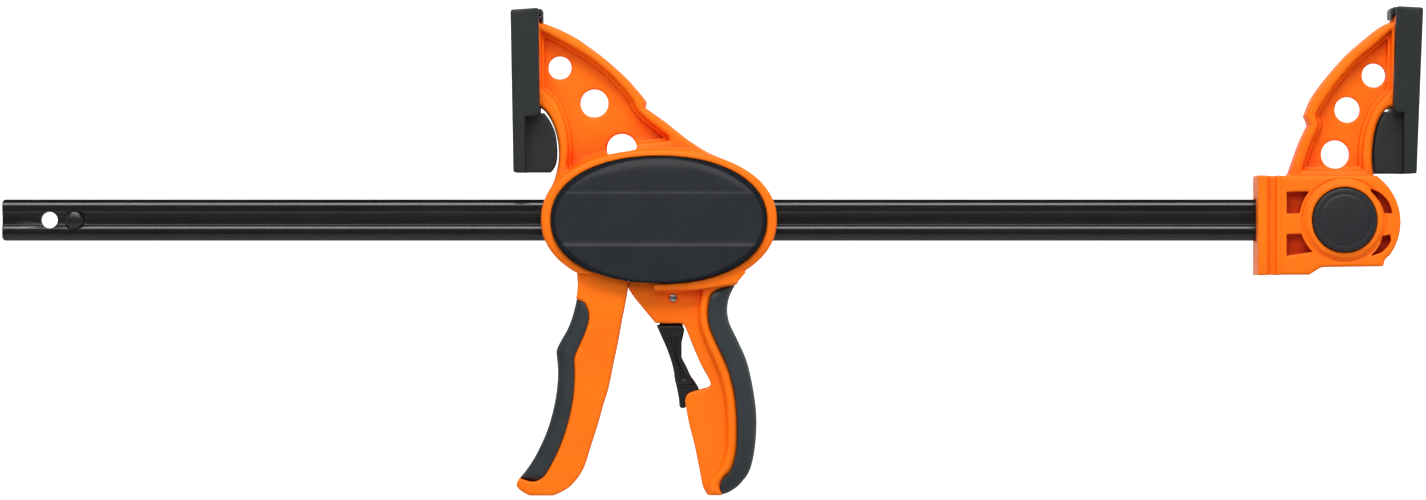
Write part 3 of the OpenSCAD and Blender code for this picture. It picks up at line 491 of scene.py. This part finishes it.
# ------------------------------------------------------------------ trigger
def trigger():
    v = 0.45
    g = G((225, 286), (-16, 16), (-137, 25), v)
    side = g.poly(arc(PIV, 6.9, 0, 180, 20) + [(257.4, -22)] + [q for q in trig_left if q[1] > -36.5] + trig_split + trig_toe[1:] + trig_right + [(279.6, -22)])
    inner = g.poly([(300, 40), (240, 40), (240, -23), (262.5, -23), (265, -33)] + [q for q in shift(trig_split, (5, 0)) if -117 < q[1] < -48] + [(247, -124), (247, -130), (262, -130), (290, -60)])
    d = g.ext(side, 13, 1.5)
    d = smax(d, -g.ext(inner, 10, 0), 0.6)
    cross = g.ext(g.poly([(259.4, -25), (262, -19), (267.4, -15.5), (271, -18), (270.4, -21), (266, -30), (265.2, -36), (261, -36)]), 10.5)
    d = umin(d, cross, g.ext(g.circ((268.7, -18), 3), 10.5))
    d = smax(d, -g.ext(g.circ(PIV, 3.08), 30), 0.3)
    surface(g, d, "trigger_moulding", ORANGE, "trigger", "trigger_lever", "orange_nylon", adapt=0.02)
    # soft inlay, proud of the trigger and rounded over the front
    P = [q for q in trig_left if q[1] <= -38.5] + rev([q for q in trig_split if q[0] > 229])
    gp = g.poly(P)
    d = g.ext(gp + 0.0, 13.6, 4.2)
    back = g.poly(shift(trig_split, (0, 0)) + [(200, -125.6), (200, -38.4)])
    d = g.ext(np.maximum(gp, back), 13.6, 0.9)
    # the rounded front: the section narrows towards the left edge
    left = g.poly([q for q in trig_left if q[1] <= -30] + [(300, -140), (300, -30)])
    rr = 6.0
    a, b = left[:, None, :] + rr, np.abs(g.Y) - 13.6 + rr
    round_ = np.minimum(np.maximum(a, b), 0) + np.sqrt(np.maximum(a, 0) ** 2 + np.maximum(b, 0) ** 2) - rr
    d = smax(d, round_, 0.4)
    surface(g, d, "trigger_inlay", GRIP, "trigger", "trigger_grip", "grip_rubber", adapt=0.02)

def handle_grip():
    v = 0.45
    g = G((318, 349), (-17, 17), (-137, -28), v)
    P = grip_split + [q for q in rev(grip_out)[1:-1]]
    gp = g.poly(P)
    d = g.ext(gp, 14.5, 0.9)
    out = g.poly(grip_out + [(250, -134), (250, -31)])
    rr = 9.0
    a, b = out[:, None, :] + rr, np.abs(g.Y) - 14.5 + rr
    round_ = np.minimum(np.maximum(a, b), 0) + np.sqrt(np.maximum(a, 0) ** 2 + np.maximum(b, 0) ** 2) - rr
    d = smax(d, round_, 0.4)
    t = [q for q in grip_split if -118 < q[1] < -46]
    d = smax(d, -g.ext(g.poly(shift(t, (-1, 0)) + rev(shift(t, (4.6, 0)))), 5.1, 0), 0.2)
    surface(g, d, "handle_overmould", GRIP, "carriage", "handle_grip", "grip_rubber", adapt=0.02)

# ------------------------------------------------------------------ pads
def pads():
    v = 0.42
    g = G((223, 250), (-17.5, 17.5), (21.5, 105), v)
    deep = g.poly([(225.4, 101.6), (226.2, 102.4), (238.4, 103.2), (239, 102.8), (239.4, 70), (239.6, 52.4), (238, 50.6), (232.5, 50.2), (232.5, 23.2), (226.8, 23.2)])
    d = g.ext(deep, 16, 0.8)
    d = np.minimum(d, g.ext(g.poly([(230, 99.9), (230, 102.7), (236, 103.1), (240.2, 102.9), (241, 102), (241, 96.4), (239.7, 96.4), (239.7, 99.9)]), 9, 0.3))
    gus = smooth([(241.6, 52.2), (244.4, 48.2), (246.8, 42.4), (247.7, 36), (247.7, 30), (246.6, 26), (244.6, 23.2)])
    d = smin(d, g.ext(g.poly([(232, 51.6)] + gus + [(232, 23.2)]), 8, 0.7), 0.8)
    cut = umin(g.ext(g.poly([(230.3, 99.8), (235.1, 99.8), (236.3, 52), (231.3, 52)]), 12.1), g.ext(g.poly([(233, 99.8), (239.7, 99.8), (241, 53.6), (233, 53.6)]), 9.15))
    d = smax(d, -cut, 0.25)
    surface(g, d, "moving_pad", PAD, "carriage", "jaw_pad", "pad_rubber", adapt=0.02)
    g = G((643, 671), (-17.5, 17.5), (21, 106), v)
    d = g.ext(g.poly([(669.2, 102.6), (668.4, 103.4), (657, 104), (656.2, 103.4), (655.2, 70), (654.7, 54.4), (656.4, 52.6), (659.8, 52.2), (659.8, 22.6), (666, 22.6)]), 16, 0.8)
    d = np.minimum(d, g.ext(g.poly([(664, 100.1), (664, 103.5), (656, 103.9), (654.6, 103.2), (654, 102.2), (654, 97.8), (655.3, 97.8), (655.3, 100.1)]), 9, 0.3))
    gus = smooth([(652, 53), (648.8, 48), (646.9, 41), (646, 33), (646.2, 27), (646.8, 22.6)])
    d = smin(d, g.ext(g.poly([(661, 53.4)] + gus + [(661, 22.6)]), 8, 0.7), 0.8)
    cut = umin(g.ext(g.poly([(663.4, 100), (658.4, 100), (656.6, 54), (661.7, 54)]), 12.1), g.ext(g.poly([(660, 100), (655.3, 100), (653.6, 55.4), (660, 55.4)]), 9.15))
    d = smax(d, -cut, 0.25)
    surface(g, d, "fixed_pad", PAD, "bar", "head_pad", "pad_rubber", adapt=0.02)

# ------------------------------------------------------------------ oval covers
def covers():
    v = 0.4
    for s, name, node in ((-1, "cover_front", "front_cover"), (1, "cover_rear", "rear_cover")):
        g = G((243, 352), (-21, -7) if s < 0 else (12, 21), (-33, 33), v)
        o = g.poly(oval(52.3, 30.7))
        # face: a flat middle, a prouder lower band behind a fine ledge, a fine step near the top and a bevelled crescent
        flat = g.poly(smooth([(240, -2), (249.1, 12.0), (256.5, 16.6), (265.1, 20.7), (278.2, 24.1), (286.9, 25.5), (298.4, 26.0), (313, 25.3), (325.5, 21.8), (337.2, 15.9), (345.4, 11.0), (356, -2)]) + [(356, -60), (240, -60)])
        h = np.full(o.shape, 18.85, np.float32)
        h = h + 0.45 * np.clip((-11.7 - g.z2) / 0.85, 0, 1) - np.maximum(-13.2 - g.z2, 0) * 0.05
        h = h - 0.2 * np.clip((g.z2 - 12.9) / 0.6, 0, 1) - np.maximum(g.z2 - 13.5, 0) * 0.02
        h = h - np.maximum(flat, 0) * 0.22
        h = np.minimum(h, 19.3 - np.maximum(np.abs(g.x2 - 297.6) - 48.6, 0) * 0.3)
        face = (s * g.Y) - h[:, None, :]
        d = smax(g.span(o, min(13.6 * s, 22 * s), max(13.6 * s, 22 * s), 0), face * 0.93, 0.55)
        d = smax(d, -g.span(g.poly(oval(50, 28.4)), min(12 * s, 16.4 * s), max(12 * s, 16.4 * s), 0), 0.2)
        for p in POSTS:
            if s < 0:
                d = np.minimum(d, g.span(g.circ(p, 3.4), -17, -9.2))
                d = np.maximum(d, -g.span(g.circ(p, 1.5), -15.4, -5))
            else:
                d = np.minimum(d, g.span(g.circ(p, 4.2), 13.7, 17.8))
                d = smax(d, -g.span(g.circ(p, 1.7), 10, 22), 0.2)
                d = smax(d, -g.span(g.circ(p, 3.15), 16.8, 22), 0.4)
        surface(g, d, name, COVERN, "carriage", node, "black_nylon", adapt=0.01)

# ------------------------------------------------------------------ release lever
def release_lever():
    v = 0.35
    g = G((295, 319), (-10, 10), (-94, -24), v)
    left = smooth([(296.3, -51.2), (298.2, -55.6), (301.6, -63.4), (304.1, -71), (305.6, -79)])
    hub = g.ext(g.poly(arc(REL, 4, 90, 270, 12) + [(306, -52), (309, -51.6), (310.2, -46), (309.4, -38), (313, -32.5), (313.6, -27.5), (311.9, -27.5), (310.2, -32.5), (306.6, -34.4)]), 4, 0.5)
    hub = umin(hub, g.ext(g.circ((312.2, -27.5), 1.4), 4, 0.3), g.ext(g.poly([(301, -40), (297.4, -52), (308, -53), (308, -40)]), 4, 0.4))
    wide = g.ext(g.poly(left + [(308.2, -80.2), (314.8, -80.2), (313.4, -77), (311, -71.6), (308.6, -67), (308.6, -60), (309.4, -56.6), (310, -53.4), (309, -51.6), (307.8, -51.3)]), 7, 0.9)
    # hollow sides with a spine down the middle, as moulded
    for s in (-1, 1):
        pk = g.poly([(302.4, -57), (306.6, -56.4), (306.4, -63), (306.9, -68), (309.4, -73.4), (311.2, -78.2), (308.6, -78), (306.7, -71), (304.4, -63.4)])
        wide = smax(wide, -g.span(pk + 0.3, min(5.9 * s, 12 * s), max(5.9 * s, 12 * s), 0.3), 0.5)
    tail = g.ext(g.poly([(305, -76), (305.8, -80), (307.2, -87), (307.5, -91), (308.4, -91.8), (310.4, -91.6), (311.2, -89), (312.4, -86.6), (316.4, -84.6), (317, -82), (314.8, -78.4), (311, -74)]), 5.5, 0.5)
    d = smin(smin(wide, tail, 0.8), hub, 0.6)
    d = smax(d, -g.ext(g.circ(REL, 1.83), 20), 0.2)
    surface(g, d, "release_paddle", LEVER, "release", "release_lever", "lever_nylon", adapt=0.0)

# ------------------------------------------------------------------ bar and its pins
def bar():
    hz, hy = 10.1, 4.0
    def half(sy):
        return [(sy * y, z) for y, z in ((4.0, 6.9), (4.0, 7.15), (3.89, 7.5), (3.38, 8.5), (3.05, 8.8), (1.5, 10.0), (1.3, 10.1))]
    r = half(1)
    prof = r + [(-y, z) for y, z in rev(r)]
    groove = [(-4.0, 4.7), (-4.0, 4.4), (-3.9, 4.0), (-3.14, 2.75), (-2.56, 2.35), (-2.5, 1.9)]
    prof += groove + [(y, -z) for y, z in rev(groove)]
    low = [(y, -z) for y, z in rev(prof[:14])]
    prof = prof[:14] + groove + [(y, -z) for y, z in rev(groove)] + [(-y, -z) for y, z in prof[:14]][:14]
    prof = prof + [(-y, -z) for y, z in groove] + [(-y, z) for y, z in rev(groove)]
    xs = [-23 + 1.5 * (1 - math.cos(a)) for a in np.linspace(0, math.pi / 2, 7)] + list(np.linspace(0, 640, 33)) + [652.5 + 1.5 * math.sin(a) for a in np.linspace(0, math.pi / 2, 7)]
    V, F = [], []
    n = len(prof)
    for x in xs:
        t = min(x + 23, 654 - x)
        lim = hz if t >= 1.5 else hz - 1.5 + math.sqrt(max(1.5 ** 2 - (1.5 - t) ** 2, 0))
        k = 0.35 * max(0, 1 - t / 0.4)
        for y, z in prof:
            V.append((x, math.copysign(max(abs(y) - k, 0), y), math.copysign(min(abs(z), lim) , z)))
    for i in range(len(xs) - 1):
        for j in range(n):
            F.append((i * n + j, i * n + (j + 1) % n, (i + 1) * n + (j + 1) % n, (i + 1) * n + j))
    F.append(tuple(range(n - 1, -1, -1)))
    F.append(tuple((len(xs) - 1) * n + j for j in range(n)))
    me = bpy.data.meshes.new("bar_raw")
    me.from_pydata([tuple(c / 1000 for c in v) for v in V], [], F)
    bm = bmesh.new(); bm.from_mesh(me)
    bmesh.ops.recalc_face_normals(bm, faces=bm.faces)
    bm.to_mesh(me); bm.free()
    o = bpy.data.objects.new("bar_raw", me)
    C.collection.objects.link(o)
    cut = []
    for x, rr in ((0, 4.0), (LOCK, 4.0), (12.1, 3.0), (619, 3.0)):
        p, (t, q) = lathe([(0, -8), (rr, -8), (rr, 8), (0, 8)], (x, 0), 64)
        cut.append((p, (t, q)))
    p, (t, q) = join(cut)
    cm = bpy.data.meshes.new("cut")
    cm.from_pydata([tuple(v / 1000) for v in p], [], [tuple(int(i) for i in f) for f in t] + [tuple(int(i) for i in f) for f in q])
    co = bpy.data.objects.new("cut", cm)
    C.collection.objects.link(co)
    md = o.modifiers.new("holes", "BOOLEAN"); md.operation = "DIFFERENCE"; md.solver = "EXACT"; md.object = co
    bv = o.modifiers.new("edges", "BEVEL"); bv.width = 0.00022; bv.segments = 2; bv.limit_method = "ANGLE"; bv.angle_limit = math.radians(38)
    me2 = bpy.data.meshes.new_from_object(o.evaluated_get(C.evaluated_depsgraph_get()))
    for x in (o, co):
        bpy.data.objects.remove(x)
    me2.name = "bar_profile"
    ob = finish_mesh("bar_profile", me2, BARM, "bar", "bar")
    sharp(ob, 30)

def dome(r, y0, y1, s, n=8):
    """Points of a domed rivet head from its flat underside at y0 out to its top at y1."""
    out = [(r - 0.15, s * y0), (r, s * (y0 + 0.15)), (r, s * (y0 + 0.5))]
    for a in np.linspace(0.15, math.pi / 2, n):
        out.append((r * math.cos(a) ** 0.8, s * (y0 + 0.5 + (y1 - y0 - 0.5) * math.sin(a))))
    return out[:-1]

def pins():
    out = []
    prof = [(0, -6)] + rev(dome(4.3, 4.02, 6.0, -1)) + [(3, -4.02), (3, 4.02)] + dome(4.3, 4.02, 6.0, 1) + [(0, 6)]
    out.append(lathe(prof, (12.1, 0)))
    out.append(lathe([(0, -4.05), (2.7, -4.05), (3, -3.8), (3, 3.8), (2.7, 4.05), (0, 4.05)], (619, 0)))
    sharp(make("stop_pins", *join(out), PINM, "bar", "bar_stop_pins", "pin_black"), 40)
    def pin(name, c, r, h, mat, body, node, slot):
        sharp(make(name, *lathe([(0, -h), (r - 0.5, -h), (r - 0.12, -h + 0.1), (r, -h + 0.4), (r, h - 0.4), (r - 0.12, h - 0.1), (r - 0.5, h), (0, h)], c), mat, body, node, slot), 40)
    pin("pivot_pin", PIV, 3.0, 13.4, STEEL, "carriage", "trigger_pivot_pin", "inner_steel")
    pin("lever_pin", REL, 1.75, 9.5, SCREW, "carriage", "release_pivot_pin", "screw_steel")
    sharp(make("locking_pin", *lathe([(0, 0.2), (3.0, 0.2), (3.6, 0.45), (3.92, 1.0), (3.92, 9.9), (3.7, 10.2), (0, 10.2)], (LOCK, 0)), STEEL, "lock_button", "lock_pin", "inner_steel"), 40)

def coil(axis, start, length, r, w, turns, name, body, node, sides=12, seg=28):
    """A compression spring with closed end turns."""
    N = int(turns * seg)
    P, Q, T = [], [], []
    for i in range(N + 1):
        u = i / seg
        e = 0.9
        free = length - 2 * w
        lead = w * 2.05
        if u < e:
            h = lead * u
        elif u > turns - e:
            h = free - lead * (turns - u)
        else:
            h = lead * e + (free - 2 * lead * e) * (u - e) / (turns - 2 * e)
        a = 2 * math.pi * u
        for k in range(sides):
            b = 2 * math.pi * k / sides
            rr = r + w * math.cos(b)
            p = (rr * math.cos(a), rr * math.sin(a), w + h + w * math.sin(b))
            P.append({"x": (p[2], p[0], p[1]), "y": (p[0], p[2], p[1])}[axis])
    for i in range(N):
        for k in range(sides):
            Q.append((i * sides + k, i * sides + (k + 1) % sides, (i + 1) * sides + (k + 1) % sides, (i + 1) * sides + k))
    for k in range(1, sides - 1):
        T.append((0, k + 1, k)); T.append((N * sides, N * sides + k, N * sides + k + 1))
    P = np.array(P) + np.array(start)
    T, Q = np.array(T), np.array(Q)
    A = np.concatenate([T, Q[:, [0, 1, 2]], Q[:, [0, 2, 3]]])
    if np.einsum("ij,ij->i", P[A[:, 0]] - P.mean(0), np.cross(P[A[:, 1]] - P.mean(0), P[A[:, 2]] - P.mean(0))).sum() < 0:
        T, Q = T[:, ::-1], Q[:, ::-1]
    o = make(name, P, (T, Q), SPRING, body, node, "spring_steel")
    sharp(o, 50)
    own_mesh(o)
    return o

def inner_parts():
    coil("x", (278.15, 0, -14.6), 19.7, 3.1, 0.45, 8, "spring_drive", "carriage", "drive_spring")
    coil("x", (306.9, 0, 15.4), 17.9, 2.6, 0.4, 8, "spring_brake", "carriage", "brake_spring")
    coil("y", (LOCK, -16.05, 0), 9.5, 8.0, 0.4, 4.4, "spring_button", "bar", "button_spring")
    v = 0.3
    g = G((270.5, 279.5), (-10.5, 10.5), (-22, 16), v)
    def rr(a0, a1, z0, z1, r, thick0, thick1, X, Z):
        qy, qz = np.abs(g.Y - (a0 + a1) / 2) - (a1 - a0) / 2 + r, np.abs(Z - (z0 + z1) / 2) - (z1 - z0) / 2 + r
        d2 = np.sqrt(np.maximum(qy, 0) ** 2 + np.maximum(qz, 0) ** 2) + np.minimum(np.maximum(qy, qz), 0) - r
        q = np.abs(X - (thick0 + thick1) / 2) - (thick1 - thick0) / 2
        return smax(d2, q, 0.35)
    d = None
    for x in (272, 275.1):
        p = rr(-9.5, 9.5, -21, 15, 1.5, x, x + 2.9, g.X, g.Z)
        d = p if d is None else np.minimum(d, p)
    d = smax(d, -(rr(-4.4, 4.4, -10.5, 10.5, 0.6, 260, 290, g.X, g.Z)), 0.3)
    surface(g, d, "plates_drive", STEEL, "drive", "drive_plates", "inner_steel", relax=2)
    g = G((302, 312), (-10, 10), (-31, 21), v)
    a = math.radians(5)
    X, Z = g.X - FUL[0], g.Z - FUL[1]
    u, w = X * math.cos(a) + Z * math.sin(a), -X * math.sin(a) + Z * math.cos(a)
    d = smin(rr(-9.2, 9.2, -5, 31.5, 1.5, 0, 3, u, w), rr(-3.6, 3.6, -17, 0, 1.2, 0, 3, u, w), 0.3)
    d = smax(d, -rr(-4.4, 4.4, 2.05, 22.85, 0.5, -5, 9, u, w), 0.3)
    surface(g, d, "plate_brake", STEEL, "brake", "brake_plate", "inner_steel", relax=2)
    g = G((622, 640), (6.5, 10.5), (-16, 16), v)
    d = g.box(LOCK - 6.6, LOCK + 6.6, 7.35, 9.75, -15, 15, 0.4)
    for z0, z1 in ((-13.85, -11.35), (11.35, 13.85)):
        d = np.maximum(d, -g.box(LOCK - 4.05, LOCK + 4.05, 0, 20, z0, z1))
    d = np.maximum(d, -g.ext(g.circ((LOCK, 0), 3.93), 20))
    surface(g, d, "yoke", STEEL, "lock_button", "lock_yoke", "inner_steel", relax=1)

def button():
    v = 0.32
    g = G((614.5, 647.5), (-19, 12), (-16.5, 16.5), v)
    r = np.sqrt((g.x2 - LOCK) ** 2 + g.z2 ** 2)
    top = 17.75 - 0.0035 * r ** 2
    ringm = np.exp(-((r - 12.6) / 0.5) ** 2) * 0.22
    face = (-g.Y) - (top - ringm)[:, None, :]
    cap = smax(g.span(r - 15.5, -22, -12.8, 0), face, 0.9)
    cap = smax(cap, -g.span(r - 13.8, -16.2, -8), 0.3)
    legs = None
    for z in (-14.6, 11.4):
        b = g.box(LOCK - 4, LOCK + 4, -16.5, 11.2, z, z + 3.2, 0.3)
        b = np.maximum(b, -g.box(LOCK - 5, LOCK + 5, 7.3, 9.8, z + 2.4 if z > 0 else z - 1, z + 4.2 if z > 0 else z + 0.8))
        legs = b if legs is None else np.minimum(legs, b)
    surface(g, np.minimum(cap, legs), "push_button", BLACKN, "lock_button", "lock_button", "black_nylon")
    g = G((612, 650), (14, 19), (-19, 19), 0.35)
    d = g.span(g.circ((LOCK, 0), 18.2), 16.3, 18.3, 0.7)
    d = smax(d, -g.span(np.abs(g.circ((LOCK, 0), 14.2)) - 0.4, 17.9, 19), 0.3)
    d = np.minimum(d, np.maximum(g.span(g.circ((LOCK, 0), 15.9), 14.6, 16.5), -g.ext(g.circ((LOCK, 0), 15.2), 30)) if False else d)
    rim = np.maximum(g.span(g.circ((LOCK, 0), 15.9), 14.6, 16.6), -(g.circ((LOCK, 0), 15.2)[:, None, :] + 0 * g.Y))
    d = np.minimum(d, rim)
    for a in range(0, 360, 60):
        d = smax(d, -g.ext(g.circ((LOCK + 10 * math.cos(math.radians(a)), 10 * math.sin(math.radians(a))), 1.2), 30), 0.3)
    surface(g, d, "rear_cap", BLACKN, "bar", "head_rear_cap", "black_nylon")

def screws():
    parts = []
    for p in POSTS:
        g = G((p[0] - 3.6, p[0] + 3.6), (-15.2, 19.2), (p[1] - 3.6, p[1] + 3.6), 0.3)
        r = np.sqrt((g.x2 - p[0]) ** 2 + (g.z2 - p[1]) ** 2)
        d = g.span(r - 1.42, -14.6, 17.2, 0.4)
        # the thread on the shank
        ang = np.arctan2(g.z2 - p[1], g.x2 - p[0])[:, None, :]
        th = 1.2 + 0.3 * np.abs(((g.Y / 1.0 - ang / (2 * math.pi)) % 1.0) * 2 - 1)
        shank = np.maximum(r[:, None, :] - th, np.abs(g.Y + 1) - 13.4)
        shank = np.minimum(shank, g.span(r - 1.5, 12, 17.2))
        head = smax(g.span(r - 2.9, 16.8, 19), np.sqrt(r[:, None, :] ** 2 + (g.Y - 14.6) ** 2) - 4.0, 0.3)
        head = smax(head, -np.minimum(g.box(p[0] - 1.7, p[0] + 1.7, 17.5, 20, p[1] - 0.36, p[1] + 0.36), g.box(p[0] - 0.36, p[0] + 0.36, 17.5, 20, p[1] - 1.7, p[1] + 1.7)), 0.15)
        parts.append(extract(g, np.minimum(shank, head), 0, 1))
    make("screws", *join(parts), SCREW, "carriage", "cover_screws", "screw_steel")

body_frame(); head_frame(); trigger(); handle_grip(); pads(); covers(); release_lever()
bar(); pins(); inner_parts(); button(); screws()

# ------------------------------------------------------------------ room, light and camera
def room():
    P, F = [], []
    prof = [(-6, 0.0)] + [(2.4 + 0.9 * math.sin(a), 0.9 - 0.9 * math.cos(a)) for a in np.linspace(0, math.pi / 2, 25)] + [(3.3, 4.5)]
    for x in (-7, 7):
        for y, z in prof:
            P.append((x + 0.3, y, z - 0.42))
    n = len(prof)
    F = [(i, i + 1, n + i + 1, n + i) for i in range(n - 1)]
    me = bpy.data.meshes.new("floor")
    me.from_pydata(P, [], F)
    me.polygons.foreach_set("use_smooth", [True] * len(me.polygons))
    o = bpy.data.objects.new("floor", me)
    C.collection.objects.link(o)
    m, t, b = nt("pale_floor")
    b.inputs["Base Color"].default_value = (0.6, 0.6, 0.6, 1)
    b.inputs["Roughness"].default_value = 0.9
    b.inputs["Specular IOR Level"].default_value = 0.1
    b.inputs["Emission Color"].default_value = (1, 1, 1, 1)
    sep = t.nodes.new("ShaderNodeSeparateXYZ")
    t.links.new(t.nodes.new("ShaderNodeTexCoord").outputs["Object"], sep.inputs[0])
    t.links.new(maprange(t, sep.outputs["Y"], 0.4, 2.2, 0.03, 1.02), b.inputs["Emission Strength"])
    me.materials.append(m)

def area(name, loc, target, sx, sy, power, color=(1, 1, 1)):
    l = bpy.data.lights.new(name, "AREA")
    l.shape = "RECTANGLE"; l.size = sx; l.size_y = sy; l.energy = power; l.color = color
    o = bpy.data.objects.new(name, l)
    C.collection.objects.link(o)
    o.location = loc
    o.rotation_euler = (Vector(target) - Vector(loc)).to_track_quat("-Z", "Y").to_euler()

room()
MID = (0.3241, 0, -0.0146)
area("key_top", (0.28, -0.95, 1.45), MID, 1.6, 0.55, 32)
area("fill_front", (0.3, -2.2, 1.1), MID, 2.6, 0.9, 23)
area("side_left", (-1.3, -0.5, 0.3), MID, 0.5, 1.2, 2)
area("side_right", (1.95, -0.3, 0.3), MID, 0.5, 1.2, 5)
w = bpy.data.worlds.new("studio")
sc.world = w
w.use_nodes = True
bg = w.node_tree.nodes["Background"]
bg.inputs["Color"].default_value = (1, 1, 1, 1)
bg.inputs["Strength"].default_value = 0.04

cam = bpy.data.cameras.new("camera")
cam.sensor_fit = "HORIZONTAL"; cam.sensor_width = 36; cam.lens = 155.02; cam.clip_end = 50
co = bpy.data.objects.new("camera", cam)
C.collection.objects.link(co)
co.location = (0.3239, -3.0, -0.0146)
co.rotation_euler = (math.pi / 2, 0, 0)
sc.camera = co
sc.view_settings.view_transform = "Standard"
sc.view_settings.look = "None"
